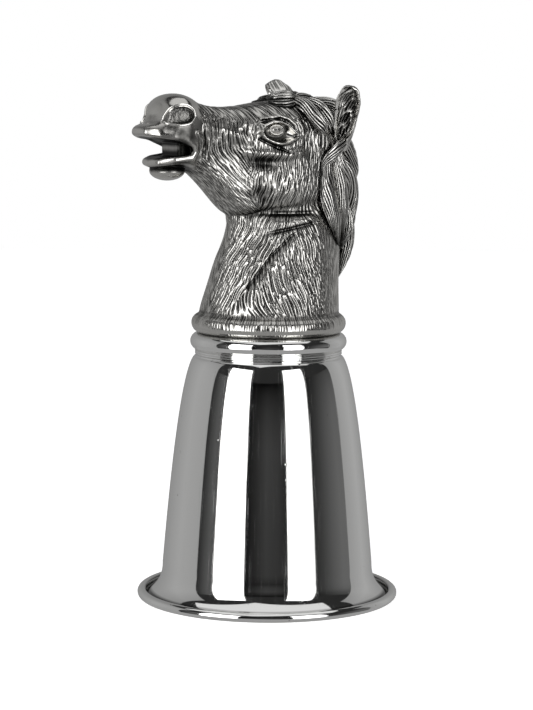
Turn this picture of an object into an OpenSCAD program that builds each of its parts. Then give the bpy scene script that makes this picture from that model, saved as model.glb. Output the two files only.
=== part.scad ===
// Stirrup cup: a spun bowl that stands on its rolled lip, a turned collar on the bowl's
// crown, and a hollow cast horse's head that is screwed down on the collar.
// Z is the bowl's axis and the floor is Z = 0. The horse faces +X and its left side is +Y.

/* [Bowl] */
// Diameter over the rolled lip
lip_d = 73; // [68:0.5:80]
// Height of the crown above the floor
cup_h = 68.4; // [60:0.2:80]
// Diameter of the bowl where its flare begins
waist_d = 58.8; // [54:0.2:62]
// Diameter of the crown, under the collar
crown_d = 40.2; // [38:0.2:42]
// Height at which the wall begins to flare
flare_h = 9.6; // [7:0.2:14]
// How fast the wall draws in towards the crown: 1 is a straight cone
wall_curve = 0.52; // [0.4:0.02:0.8]
// Thickness of the sheet
sheet_t = 0.8; // [0.6:0.1:1.2]
// Diameter of the wire that the lip is rolled round
wire_d = 1; // [0.8:0.1:2]
// Width of the flat ground on the lip, where the cup rests
rest_w = 1.2; // [0.8:0.1:1.6]

/* [Collar] */
// Diameter over the collar's bead
bead_d = 43.6; // [41:0.2:48]
// Height of the bead
bead_h = 4.8; // [3.5:0.1:6]
// Height of the two fine fillets under the bead, together
fillet_h = 1.2; // [0.8:0.1:2]
// Diameter over the fine fillets
fillet_d = 41; // [40:0.2:43]
// Diameter of the hole through the collar
collar_bore_d = 24; // [18:0.5:28]

/* [Fixing] */
// Diameter of the screw
screw_d = 5; // [4:0.5:6]
// Diameter of the screw's head
screw_head_d = 9; // [8:0.5:12]
// Height of the screw's head
screw_head_h = 2.6; // [2:0.1:4]
// Length of the screw under its head
screw_l = 12; // [11:0.5:16]
// Width of the slot in the screw's head
slot_w = 1.2; // [0.8:0.1:1.6]
// Depth of the slot
slot_depth = 1.3; // [0.8:0.1:1.6]
// Diameter of the sealing washer
washer_d = 12; // [10.5:0.5:16]
// Thickness of the sealing washer
washer_t = 1; // [0.6:0.1:1.5]
// Thickness of the plate in the neck's foot
plate_t = 3; // [2:0.2:4]
// Depth of the plate's boss in the collar
boss_h = 3; // [2:0.2:4]
// Radial clearance between pieces that slide together
slip = 0.04; // [0.02:0.01:0.08]
// Radial clearance of the screw in the bowl's crown
screw_play = 0.25; // [0.1:0.05:0.4]

/* [Neck] */
// Diameter over the textured bead at the neck's foot
foot_d = 43; // [41:0.2:47]
// Height of that bead
foot_h = 5.4; // [4:0.2:7]
// Diameter of the neck just above the bead
neck_d = 39; // [37:0.2:41]
// Diameter of the bore in the foot, which the plate closes
foot_bore_d = 35; // [32:0.5:36]
// Thickness of the cast wall
cast_wall = 2.4; // [1.8:0.1:3]

/* [Head] */
// Reach of the upper lip in front of the bowl's axis
nose_reach = 40.4; // [38:0.2:44]
// Height of the muzzle's top above the collar
muzzle_top = 65.6; // [64:0.2:69]
// Width over the nostrils
muzzle_w = 21; // [18:0.5:24]
// Width of the skull over the eyes
brow_w = 24.8; // [23:0.2:27]
// Width over the cheeks
cheek_w = 24.4; // [22:0.2:27]
// Height of the cheeks' lower edge above the collar
cheek_bottom = 32.8; // [30:0.2:35]
// Height of the lower lip above the collar
lower_lip = 49; // [47.5:0.1:50]
// Gap between the lips at the front of the mouth
mouth_gap = 4.6; // [3:0.1:6]
// Diameter of the eyeball
eye_d = 5.2; // [4.5:0.1:6]
// Diameter of the rolled rims of nostrils and eyelids
rim_roll_d = 1.4; // [1:0.1:1.8]
// Diameter of the rolled edge of the lips
lip_roll_d = 1.8; // [1.4:0.1:2.2]
// How far the fold at the throat stands out
fold_out = 0.6; // [0.3:0.1:1]

/* [Ears and hair] */
// Length of an ear
ear_l = 16; // [14:0.5:19]
// Width of an ear
ear_w = 7.8; // [7:0.2:8.4]
// How far an ear leans out from upright, in degrees
ear_lean = 25; // [22:1:34]
// Thickness of an ear's wall
ear_wall = 1.3; // [1:0.1:1.8]
// How far the mane stands back from the neck's crest
mane_t = 8.2; // [6:0.2:8.4]
// Height of the mane's tip above the collar
mane_tip = 14; // [12:0.5:20]
// Diameter of a lock of hair at its root
lock_d = 5; // [5:0.2:6]

/* [Hidden] */
$fn = 48;

// The rolled lip: the sheet goes round the wire from this angle, by this turn.
curl_r = wire_d / 2 + slip + sheet_t;
curl_x = lip_d / 2 - curl_r;
curl_z = sqrt(pow(curl_r, 2) - pow(rest_w / 2, 2));
curl_from = -115;
curl_turn = 255;

// Heights of the stack, from the floor up.
crown_under = cup_h - sheet_t;
collar_h = bead_h + fillet_h;
neck_z = cup_h + collar_h;

// Steps along the curves, and sides of the cast forms.
wall_steps = 12;
flare_steps = 6;
arc_steps = 15;
loft_sides = 22;
lock_sides = 7;
lock_steps = 7;
ring_steps = 14;
ring_sides = 6;
ear_steps = 9;
ear_sides = 6;
ball_sides = 12;
far = 200;

// Places on the face, in X and in height above the collar.
eye_x = 4.6;
eye_z = 56;
lid_l = 5;
lid_h = 2.9;
lid_tilt = -8;
brow = [[-1.6, 58.4], [3.4, 60.4], [8.6, 59.2]];
brow_d = 3.6;
cheekbone = [[-2.4, 50.4], [6, 49.9], [12.8, 50.6]];
cheekbone_d = 3.8;
nose_ridge = [[12.4, 53.8], [22.6, 56.2]];
nose_ridge_d = 4.4;
throat_z = 30.2;
upper_lip = lower_lip + mouth_gap;
nostril_x = nose_reach - 8.5;
nostril_z = muzzle_top - 4.2;
nostril_l = 4.9;
nostril_h = 3;
nostril_tilt = -12;

// The skull's and the jaw's outlines: stations along X with the height of the top and the
// bottom above the collar, and the half width.
skull = [
    [-18.5, 59.4, 52, 3],
    [-16, 62.6, 47, 7.5],
    [-10, 64.6, 43, brow_w / 2 - 1.8],
    [-3, 64.4, 42, brow_w / 2 - 0.4],
    [eye_x, 63.6, 43, brow_w / 2],
    [11, 62.6, 45, 10.6],
    [18, 62.4, 47, 8.9],
    [nose_reach - 16.5, muzzle_top - 2.2, lower_lip - 0.4, 8.5],
    [nose_reach - 12.8, muzzle_top - 0.6, lower_lip + 0.6, muzzle_w / 2 - 1.3],
    [nose_reach - 10.2, muzzle_top, upper_lip - 1.8, muzzle_w / 2 - 0.7],
    [nose_reach - 7.4, muzzle_top - 0.4, upper_lip - 0.4, muzzle_w / 2 - 1.2],
    [nose_reach - 5.6, muzzle_top - 2.2, upper_lip + 0.2, muzzle_w / 2 - 2.1],
    [nose_reach - 4.3, muzzle_top - 6, upper_lip + 0.5, muzzle_w / 2 - 2.9],
    [nose_reach - 2.8, upper_lip + 4.4, upper_lip + 0.7, muzzle_w / 2 - 3.5],
    [nose_reach - 1.2, upper_lip + 3.7, upper_lip + 0.9, muzzle_w / 2 - 4.9],
    [nose_reach, upper_lip + 3, upper_lip + 1.3, muzzle_w / 2 - 7]
];
jaw = [
    [-11.6, 51, cheek_bottom + 4, cheek_w / 2 - 3.6],
    [-9.6, 53, cheek_bottom + 0.6, cheek_w / 2 - 0.8],
    [0, 55, cheek_bottom, cheek_w / 2],
    [8, 53, cheek_bottom - 0.6, cheek_w / 2 - 1],
    [11, 52, cheek_bottom - 0.5, cheek_w / 2 - 2],
    [14, 51, cheek_bottom + 1.2, 9.2],
    [20, 50.4, cheek_bottom + 7.4, 8],
    [nose_reach - 16.8, lower_lip + 0.9, lower_lip - 5.4, 7.7],
    [nose_reach - 14.2, lower_lip + 0.9, lower_lip - 3.7, 7.6],
    [nose_reach - 10.6, lower_lip + 0.8, lower_lip - 2.8, 7.4],
    [nose_reach - 6.8, lower_lip, lower_lip - 2.4, 6.4],
    [nose_reach - 3.6, lower_lip - 0.6, lower_lip - 2.2, 3.4]
];
// Half of the path of the lips' rolled edge, from the middle of the upper lip round the mouth's
// corner to the middle of the lower lip.
lip_path = [
    [nose_reach - 0.4, 0.07 * muzzle_w, upper_lip + 2],
    [nose_reach - 1.1, 0.16 * muzzle_w, upper_lip + 1.9],
    [nose_reach - 3.4, 0.31 * muzzle_w, upper_lip + 1],
    [nose_reach - 6.4, 0.41 * muzzle_w, upper_lip + 0.6],
    [nose_reach - 10, 0.44 * muzzle_w, upper_lip - 0.3],
    [nose_reach - 12.5, 0.44 * muzzle_w, (upper_lip + lower_lip) / 2],
    [nose_reach - 10.8, 8.4, lower_lip + 0.5],
    [nose_reach - 7.2, 6.8, lower_lip - 0.4],
    [nose_reach - 4.5, 3.8, lower_lip - 0.9],
    [nose_reach - 3.9, 1.4, lower_lip - 1.1]
];
// The neck's outline: stations up Z from the collar with the middle, half length and half width.
neck = [
    [foot_h / 2, 0, neck_d / 2, neck_d / 2],
    [foot_h + 1.2, -0.2, neck_d / 2 - 0.1, neck_d / 2 - 0.3],
    [14, -1.4, 18.6, 17],
    [20, -2.6, 18.1, 15],
    [26, -4, 17.1, 13.5],
    [30, -4.5, 16.8, 12.2],
    [33, -4.4, 16.9, 11.2],
    [38, -6, 15, 10.2],
    [46, -9, 11.5, 9.6],
    [56, -11, 8.5, 9],
    [62, -12, 5, 6]
];

// Roots and falls of the ears and hair.
// The right ear is a little longer than the left one and pricked further forward.
ear_root = [-17.5, 9.9, 53.4];
ear_turn = -45;
ear_tilt = 7;
right_ear_l = 1.18 * ear_l;
right_ear_lean = ear_lean + 3;
right_ear_tilt = 20;
mane_top = 57.5;
mane_fall = 23;
mane_locks = 3;
// Falls down the neck's side: at four heights, as shares of a lock's fall under the mane's top, the
// turn round the neck and the way out from it.
fall_z = [for (share = [0.26, 0.63, 1.02, 1.46]) mane_top - share * mane_fall];
mane_falls = [
    [[108, -0.8], [110, 0.34], [121, 0.38], [146, 0.1]],
    [[127, -0.8], [138, 0.5], [151, 0.5], [162, 0.26]]
];
forelock_locks = [
    [[-15.5, 0.3, 61.6], [-12.6, 0.2, 66], [-9, 0.1, 67.4], [-2.1, 0.4, 63.8]],
    [[-9.4, -6.2, 62.6], [-8.8, -3, 67.2], [-9, 3.1, 67], [-9.3, 6.3, 62.7]],
    [[-11, 0.6, 63], [-5, 1.7, 67], [-0.4, 0.4, 66.8], [4.2, -1.2, 62.2]],
    [[-10, 2.3, 62.6], [-5, 6.1, 66.4], [0.2, 6.6, 65.2], [3, 6.3, 61.4]],
    [[-10.2, -2.1, 62.5], [-4.8, -5.8, 66.6], [0.1, -6.2, 65], [2.8, -5.9, 61.6]],
    [[-9.3, 3.2, 63], [-4.6, 9.6, 66.2], [-5.4, 13.7, 61.6], [-9.6, 12.8, 55.2]],
    [[-9.1, -3.3, 63], [-4.7, -9.4, 66], [-5.6, -13.6, 61.4], [-9.8, -12.7, 55.4]],
    [[-9.2, 4.3, 62.6], [-12, 6.4, 65.6], [-14.8, 8.3, 65.2], [-17.6, 9.6, 59]],
    [[-9, -4.4, 62.5], [-11.9, -6.5, 65.7], [-14.9, -8.2, 65.3], [-17.5, -9.7, 59.2]]
];

// Value of column k of a table at place x, on a smooth curve through the stations.
function slope(t, i, k) =
    let (a = max(i - 1, 0), b = min(i + 1, len(t) - 1))
    (t[b][k] - t[a][k]) / (t[b][0] - t[a][0]);
function station(t, x) = max([for (i = [0 : len(t) - 2]) if (i == 0 || t[i][0] <= x) i]);
function along(t, x, k) =
    let (
        i = station(t, x),
        h = t[i + 1][0] - t[i][0],
        u = (x - t[i][0]) / h
    )
    t[i][k] * (1 + 2 * u) * pow(1 - u, 2) + t[i + 1][k] * u * u * (3 - 2 * u)
    + h * u * (1 - u) * (slope(t, i, k) * (1 - u) - slope(t, i + 1, k) * u);

// The back of the neck at a height, where the mane grows.
function crest_x(z) = along(neck, z, 1) - along(neck, z, 2);

// Place on the neck at a height, at a turn from the front, moved out.
function neck_side(z, turn, out) =
    [along(neck, z, 1) + (along(neck, z, 2) + out) * cos(turn), (along(neck, z, 3) + out) * sin(turn), z];

// A section is a rounded square: its cos and sin are raised to this power.
fullness = 0.74;
function full(v) = sign(v) * pow(abs(v), fullness);

// Section of the skull or jaw at x, drawn in by inset.
function face_ring(t, x, inset) =
    let (
        top = along(t, x, 1) - inset,
        bottom = along(t, x, 2) + inset,
        w = along(t, x, 3) - inset
    )
    [for (i = [0 : loft_sides - 1])
        let (a = 360 * i / loft_sides)
        [x, w * full(cos(a)), (top + bottom) / 2 + (top - bottom) / 2 * full(sin(a))]];

// Half width of that section at height z.
function face_y(t, x, z) =
    let (
        top = along(t, x, 1),
        bottom = along(t, x, 2),
        s = pow(min(1, abs(2 * z - top - bottom) / (top - bottom)), 1 / fullness)
    )
    along(t, x, 3) * pow(1 - s * s, fullness / 2);

// Section of the neck at height z, drawn in by inset.
function neck_ring(z, inset) =
    let (c = along(neck, z, 1), a = along(neck, z, 2) - inset, b = along(neck, z, 3) - inset)
    [for (i = [0 : loft_sides - 1])
        let (t = 360 * i / loft_sides)
        [c + a * cos(t), b * sin(t), z]];

// Skin over rings of equal count, closed at both ends.
module skin(rings) {
    n = len(rings[0]);
    m = len(rings);
    polyhedron(
        points = [for (r = rings) for (p = r) p],
        faces = concat(
            [[for (j = [0 : n - 1]) j]],
            [[for (j = [n - 1 : -1 : 0]) (m - 1) * n + j]],
            [for (i = [0 : m - 2]) for (j = [0 : n - 1])
                [i * n + j, (i + 1) * n + j, (i + 1) * n + (j + 1) % n]],
            [for (i = [0 : m - 2]) for (j = [0 : n - 1])
                [i * n + j, (i + 1) * n + (j + 1) % n, i * n + (j + 1) % n]]
        )
    );
}

// Places of the sections: at each station of a table and half way to the next, between two ends.
function places(t, from, to) =
    let (
        x0 = max(from, t[0][0]),
        x1 = min(to, t[len(t) - 1][0]),
        all = [for (i = [0 : len(t) - 2]) for (u = [0, 0.5]) t[i][0] + u * (t[i + 1][0] - t[i][0])]
    )
    concat([x0], [for (x = all) if (x > x0 + 0.3 && x < x1 - 0.3) x], [x1]);

// Skin over a table's sections from one end to the other, or between two places.
module face_loft(t, inset = 0, from = -far, to = far) {
    skin([for (x = places(t, from, to)) face_ring(t, x, inset)]);
}

module neck_loft(inset = 0, from = -far, to = far) {
    skin([for (z = places(neck, from, to)) neck_ring(z, inset)]);
}

// Rounded lump round a list of points on the skull's side, sunk into it by a share of its diameter.
module lump(points, d, sink = 0.36) {
    hull()
        for (p = points)
            translate([p[0], face_y(skull, p[0], p[1]) - sink * d, p[1]])
            sphere(d = d, $fn = ball_sides);
}

// Skin round a closed path: a ring of sections, the last joined to the first.
module loop_skin(rings) {
    n = len(rings[0]);
    m = len(rings);
    polyhedron(
        points = [for (r = rings) for (p = r) p],
        faces = concat(
            [for (i = [0 : m - 1]) for (j = [0 : n - 1])
                [i * n + j, ((i + 1) % m) * n + j, ((i + 1) % m) * n + (j + 1) % n]],
            [for (i = [0 : m - 1]) for (j = [0 : n - 1])
                [i * n + j, ((i + 1) % m) * n + (j + 1) % n, i * n + (j + 1) % n]]
        )
    );
}

// Lock of hair: a round, tapering sweep along a cubic curve of four points.
function bezier(p, t) =
    p[0] * pow(1 - t, 3) + p[1] * 3 * t * pow(1 - t, 2)
    + p[2] * 3 * t * t * (1 - t) + p[3] * pow(t, 3);
function unit(v) = v / norm(v);
function lock_ring(p, t, d) =
    let (
        tangent = unit(bezier(p, t + 0.01) - bezier(p, t - 0.01)),
        side = unit(cross(tangent, [0.3, 1, 0.2])),
        up = cross(tangent, side),
        r = d / 2 * (0.75 + 0.9 * t * (1 - t) - 0.6 * t)
    )
    [for (i = [0 : lock_sides - 1])
        let (a = 360 * i / lock_sides)
        bezier(p, t) + r * (side * cos(a) + up * sin(a))];

module lock(p, d) {
    skin([for (i = [0 : lock_steps]) lock_ring(p, i / lock_steps, d)]);
}

// Spun bowl. Its middle line runs from the crown down the wall, through the flare and once
// round the wire, and the sheet lies half on each side of it.
function wall_r(s) =
    (crown_d + (waist_d - crown_d) * pow(s, 2 * wall_curve) - sheet_t) / 2;
function wall_z(s) = cup_h - sheet_t / 2 - (cup_h - sheet_t / 2 - flare_h) * s * s;

function bowl_line() =
    let (
        r = curl_r - sheet_t / 2,
        start = [curl_x + r * cos(curl_from), curl_z + r * sin(curl_from)],
        foot = [wall_r(1), flare_h],
        ease = (flare_h - start[1]) / 2
    )
    concat(
        [[0, cup_h - sheet_t / 2]],
        [for (i = [0 : wall_steps]) [wall_r(i / wall_steps), wall_z(i / wall_steps)]],
        [for (i = [1 : flare_steps])
            bezier([foot, foot - [0, ease], start + ease * [sin(curl_from), -cos(curl_from)],
                start], i / flare_steps)],
        [for (i = [1 : arc_steps])
            let (a = curl_from + curl_turn * i / arc_steps)
            [curl_x + r * cos(a), curl_z + r * sin(a)]]
    );

// A line moved sideways by d.
function beside(line, d) =
    [for (i = [0 : len(line) - 1])
        let (v = unit(line[min(i + 1, len(line) - 1)] - line[max(i - 1, 0)]))
        line[i] + d * [v[1], -v[0]]];

module cup_bowl() {
    line = bowl_line();
    inner = beside(line, sheet_t / 2);
    color("silver")
    difference() {
        rotate_extrude()
        difference() {
            polygon(concat(beside(line, -sheet_t / 2),
                [for (i = [len(inner) - 1 : -1 : 0]) inner[i]]));
            translate([0, -curl_r]) square([lip_d, curl_r]);
        }
        translate([0, 0, crown_under - sheet_t])
            cylinder(r = screw_d / 2 + screw_play, h = 3 * sheet_t);
    }
}

module rim_wire() {
    color("gray")
    translate([0, 0, curl_z])
    rotate_extrude()
    translate([curl_x, 0])
    circle(d = wire_d);
}

// Turned collar: two fine fillets under one round bead, with a hole for the plate's boss.
module collar_ring() {
    fillet_r = fillet_h / 4;
    bead_r = bead_h / 2;
    color("silver")
    translate([0, 0, cup_h])
    difference() {
        rotate_extrude()
        union() {
            square([fillet_d / 2 - fillet_r, collar_h]);
            for (i = [0, 1])
                translate([fillet_d / 2 - fillet_r, fillet_r * (1 + 2 * i)]) circle(r = fillet_r);
            translate([bead_d / 2 - bead_r, fillet_h + bead_r]) circle(r = bead_r);
        }
        translate([0, 0, -1]) cylinder(d = collar_bore_d, h = collar_h + 2);
    }
}

// Plate in the neck's foot: its boss enters the collar, and its hole is tapped for the screw.
module neck_plate() {
    color("gray")
    translate([0, 0, neck_z])
    difference() {
        union() {
            cylinder(r = foot_bore_d / 2 - slip, h = plate_t);
            translate([0, 0, -boss_h]) cylinder(r = collar_bore_d / 2 - slip, h = boss_h + 1);
        }
        translate([0, 0, -boss_h - 1]) cylinder(r = screw_d / 2 + slip, h = boss_h + plate_t + 2);
    }
}

// Slotted screw, put in from inside the bowl.
module fixing_screw() {
    head_top = crown_under - washer_t;
    color("gainsboro")
    translate([0, 0, head_top])
    difference() {
        union() {
            cylinder(d = screw_d, h = screw_l);
            translate([0, 0, -screw_head_h]) cylinder(d = screw_head_d, h = screw_head_h);
        }
        translate([-screw_head_d, -slot_w / 2, -screw_head_h - 1])
            cube([2 * screw_head_d, slot_w, slot_depth + 1]);
    }
}

module seal_washer() {
    color("dimgray")
    translate([0, 0, crown_under - washer_t])
    difference() {
        cylinder(d = washer_d, h = washer_t);
        translate([0, 0, -1]) cylinder(r = screw_d / 2 + slip, h = washer_t + 2);
    }
}

// Round bead at the neck's foot, with a flat seat for the collar.
module neck_foot() {
    r = foot_h / 2;
    rotate_extrude($fn = 60) {
        translate([foot_d / 2 - r, r]) circle(r = r, $fn = 16);
        square([foot_d / 2 - r, foot_h]);
    }
}

// Rolled rim round an eye or a nostril, lying on the skull's side.
function rim_point(x, z, half_l, half_h, tilt, a) =
    let (
        u = half_l * cos(a),
        v = half_h * sin(a) * (1 + cos(a) / 4),
        px = x + u * cos(tilt) - v * sin(tilt),
        pz = z + u * sin(tilt) + v * cos(tilt)
    )
    [px, face_y(skull, px, pz), pz];

module rim(x, z, half_l, half_h, tilt) {
    loop_skin([for (i = [0 : ring_steps - 1])
        let (
            a = 360 * (i + 0.3) / ring_steps,
            p = rim_point(x, z, half_l, half_h, tilt, a),
            ahead = unit(rim_point(x, z, half_l, half_h, tilt, a + 3) - p),
            side = unit(cross(ahead, [0.05, 1, 0.02])),
            up = cross(ahead, side)
        )
        [for (j = [0 : ring_sides - 1])
            p + rim_roll_d / 2 * (side * cos(360 * j / ring_sides) + up * sin(360 * j / ring_sides))]]);
}

// Rolled edge round the whole mouth, on both lips.
module lip_roll() {
    last = len(lip_path) - 1;
    path = concat(lip_path, [for (i = [last : -1 : 0]) [lip_path[i][0], -lip_path[i][1], lip_path[i][2]]]);
    m = len(path);
    middle = [nose_reach - 9, 0, (upper_lip + lower_lip) / 2];
    loop_skin([for (i = [0 : m - 1])
        let (
            ahead = unit(path[(i + 1) % m] - path[(i + m - 1) % m]),
            side = unit(cross(ahead, path[i] - middle)),
            up = cross(ahead, side)
        )
        [for (j = [0 : ring_sides - 1])
            path[i] + lip_roll_d / 2 * (side * cos(360 * j / ring_sides) + up * sin(360 * j / ring_sides))]]);
}

// What stands out of one side of the head: brow, cheekbone, ridge of the nose, cheek, the ear's stem,
// eyelids and the nostril's rim.
module side_features() {
    lump(brow, brow_d);
    lump(cheekbone, cheekbone_d, 0.24);
    lump(nose_ridge, nose_ridge_d);
    hull() {
        translate(ear_root - [0, 0, 0.8]) sphere(d = 0.6 * ear_w, $fn = ball_sides);
        translate([-12.3, 9.2, 48]) sphere(d = 0.5 * ear_w, $fn = ball_sides);
    }
    translate([-1, cheek_w / 2 - 7.5, cheek_bottom + 9.4])
        scale([11.4, 8.3, 9.2])
        sphere(r = 1, $fn = 18);
    rim(eye_x, eye_z, lid_l, lid_h, lid_tilt);
    rim(nostril_x, nostril_z, nostril_l, nostril_h, nostril_tilt);
}

// Shallow oval dish in the side of the skull or jaw.
module dish(t, x, z, half_l, half_h, tilt, depth) {
    translate([x, face_y(t, x, z) + 0.5, z])
        rotate([0, -tilt, 0])
        scale([half_l, depth + 0.5, half_h])
        sphere(r = 1, $fn = 16);
}

// Hollows in one side of the head: nostril, eye socket, and those under the cheekbone and before
// the cheek.
module side_hollows() {
    in = rim_roll_d / 4;
    dish(skull, nostril_x, nostril_z, nostril_l - in, nostril_h - in, nostril_tilt, 1.6);
    dish(skull, eye_x, eye_z, lid_l - in, lid_h - in, lid_tilt, 1.4);
    dish(jaw, 8.4, 46.9, 4.4, 1.8, 0, 1.2);
    dish(jaw, 13.8, 40.8, 3.2, 4.2, 0, 1.1);
}

module eyeball() {
    lump([[eye_x - 0.4, eye_z], [eye_x + 0.4, eye_z]], eye_d);
}

// Dome of the nose, between and above the nostrils.
module nose_dome() {
    translate([nose_reach - 10.2, 0, muzzle_top - 5.7])
        scale([6.6, muzzle_w / 2 - 1.1, 5.7])
        sphere(r = 1, $fn = 20);
}

// Tongue, which closes the mouth behind the lips.
module tongue() {
    translate([nose_reach - 13.6, 0, (upper_lip + lower_lip) / 2])
        scale([4.6, 5.7, mouth_gap / 2 + 1])
        sphere(r = 1, $fn = 16);
}

// Chin under the lower lip.
module chin() {
    translate([nose_reach - 8.6, 0, lower_lip - 3.3])
        scale([4.7, 5.5, 2.7])
        sphere(r = 1, $fn = 20);
}

// Fold of the skin round the throat, where the neck meets the cheeks.
module throat_fold() {
    skin([for (p = [[-2.2, 0.3], [-1.2, -0.7 * fold_out], [0, -fold_out], [1.2, -0.7 * fold_out], [2.2, 0.3]])
        neck_ring(throat_z + p[0], p[1])]);
}

// Outer form of the whole head and neck, standing on the collar at Z = 0.
module head_form() {
    difference() {
        union() {
            neck_foot();
            neck_loft();
            throat_fold();
            face_loft(skull);
            face_loft(jaw);
            nose_dome();
            tongue();
            chin();
            lip_roll();
            side_features();
            mirror([0, 1, 0]) side_features();
        }
        side_hollows();
        mirror([0, 1, 0]) side_hollows();
    }
    eyeball();
    mirror([0, 1, 0]) eyeball();
}

// Hollow of the casting, open at the foot.
module head_hollow() {
    translate([0, 0, -1]) cylinder(d = foot_bore_d, h = plate_t + 1, $fn = 90);
    neck_loft(cast_wall, from = plate_t - 0.5, to = 56);
    face_loft(skull, cast_wall, from = -15, to = 20);
    face_loft(jaw, cast_wall, from = -9, to = 18);
}

module head_half() {
    difference() {
        intersection() {
            head_form();
            translate([-far, 0, -far]) cube(2 * far);
        }
        head_hollow();
    }
}

module head_left() {
    color("slategray") translate([0, 0, neck_z]) head_half();
}

module head_right() {
    color("slategray") translate([0, 0, neck_z]) mirror([0, 1, 0]) head_half();
}

// Ear: a hollow leaf that leans out and opens to the side and front. Its section is an open
// ring, nearly closed at the root and widest two thirds of the way up.
ear_shape = [[-0.15, 0.6, 158], [0, 0.68, 150], [0.2, 0.84, 125], [0.4, 0.92, 112],
             [0.6, 1, 104], [0.77, 0.98, 100], [0.9, 0.76, 97], [1, 0.52, 92]];

function ear_ring(t, long) =
    let (
        r = ear_w / 2 * along(ear_shape, t, 1),
        hole = max(r - ear_wall, 0.1),
        open = along(ear_shape, t, 2)
    )
    concat(
        [for (i = [0 : ear_sides])
            let (a = -90 - open + 2 * open * i / ear_sides)
            [r * cos(a), r * sin(a), long * t]],
        [for (i = [0 : ear_sides])
            let (a = -90 + open - 2 * open * i / ear_sides)
            [hole * cos(a), hole * sin(a), long * t]]
    );

module ear_form(long = ear_l, lean = ear_lean, tilt = ear_tilt) {
    first = ear_shape[0][0];
    translate(ear_root)
    rotate([-lean, tilt, 0])
    rotate([0, 0, ear_turn])
    skin([for (i = [0 : ear_steps]) ear_ring(first + (1 - first) * i / ear_steps, long)]);
}

module right_ear_form() {
    mirror([0, 1, 0]) ear_form(right_ear_l, right_ear_lean, right_ear_tilt);
}

module ear_left() {
    color("slategray")
    translate([0, 0, neck_z])
    difference() {
        ear_form();
        head_form();
    }
}

module ear_right() {
    color("slategray")
    translate([0, 0, neck_z])
    difference() {
        right_ear_form();
        head_form();
    }
}

// Mane: locks that stand back from the neck's crest, and falls down both sides of the neck.
module mane_form() {
    for (i = [0 : mane_locks - 1], side = [-1, 0, 1]) {
        z = mane_top - (mane_top - mane_tip - mane_fall) * i / (mane_locks - 1)
            - abs(side) * lock_d * 0.34;
        x = crest_x(z) + lock_d * (side == 0 ? 0.12 : 0.26);
        swing = lock_d * (i % 2 == 0 ? 0.22 : -0.18);
        back = mane_t * (side == 0 ? 1.05 : 0.98) * (1 - 0.42 * i / (mane_locks - 1));
        lock([
            [x, lock_d * (side * 0.42 + 0.02), z + lock_d * 0.24],
            [x - back, lock_d * side * 0.86 + swing, z - mane_fall * 0.2],
            [x - back * 0.74, lock_d * side * 1.38 - swing, z - mane_fall * 0.6],
            [crest_x(z - mane_fall) + lock_d * 0.18, lock_d * side * 0.98 + swing, z - mane_fall]
        ], lock_d * (side == 0 ? 1.4 : 1.3));
    }
    for (fall = mane_falls, side = [-1, 1])
        lock([for (i = [0 : 3]) neck_side(fall_z[i], side * fall[i][0], fall[i][1] * lock_d)], lock_d * 1.45);
}

module mane() {
    color("darkgray")
    translate([0, 0, neck_z])
    difference() {
        mane_form();
        head_form();
        ear_form();
        right_ear_form();
    }
}

// Forelock: locks that fall from the poll over the forehead, and one past each ear.
module forelock_form() {
    for (p = forelock_locks) lock(p, lock_d);
}

module forelock() {
    color("darkgray")
    translate([0, 0, neck_z])
    difference() {
        forelock_form();
        head_form();
        mane_form();
        ear_form();
        right_ear_form();
    }
}

cup_bowl();
rim_wire();
collar_ring();
neck_plate();
fixing_screw();
seal_washer();
head_left();
head_right();
ear_left();
ear_right();
mane();
forelock();
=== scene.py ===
"""Stirrup cup with a horse's head: its visible surfaces, materials and a small studio, as an add-on.

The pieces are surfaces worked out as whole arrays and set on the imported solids. Shapes are worked out
in millimetres, with heights from the floor for the bowl and the collar and from the collar's top for the
rest. Meshes are in metres in the row's frame: +X is the way the horse faces, +Y its left side and +Z up.
"""

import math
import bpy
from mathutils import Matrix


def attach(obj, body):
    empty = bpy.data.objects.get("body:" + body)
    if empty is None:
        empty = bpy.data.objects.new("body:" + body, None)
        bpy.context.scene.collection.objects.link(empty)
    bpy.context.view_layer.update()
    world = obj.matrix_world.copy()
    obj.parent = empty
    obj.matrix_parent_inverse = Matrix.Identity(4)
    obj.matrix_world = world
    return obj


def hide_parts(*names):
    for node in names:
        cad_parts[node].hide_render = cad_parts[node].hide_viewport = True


bl_info = {
    "name": "Stirrup cup with a horse's head",
    "version": (1, 0, 0),
    "blender": (4, 5, 0),
    "location": "View3D > Sidebar > Stirrup cup",
    "description": "Builds the bowl, collar, cast head, ears and hair of a stirrup cup",
    "category": "Add Mesh",
}

import bpy
import numpy as np
from bpy.props import FloatProperty, FloatVectorProperty, PointerProperty
from bpy.types import Operator, Panel, PropertyGroup

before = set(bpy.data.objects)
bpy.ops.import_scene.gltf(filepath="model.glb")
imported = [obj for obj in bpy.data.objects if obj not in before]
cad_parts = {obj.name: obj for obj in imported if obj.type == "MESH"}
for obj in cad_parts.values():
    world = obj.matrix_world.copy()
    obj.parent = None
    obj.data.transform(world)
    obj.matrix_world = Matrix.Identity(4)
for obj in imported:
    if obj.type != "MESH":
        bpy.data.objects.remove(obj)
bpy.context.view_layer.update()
BODY = "root"

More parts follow.
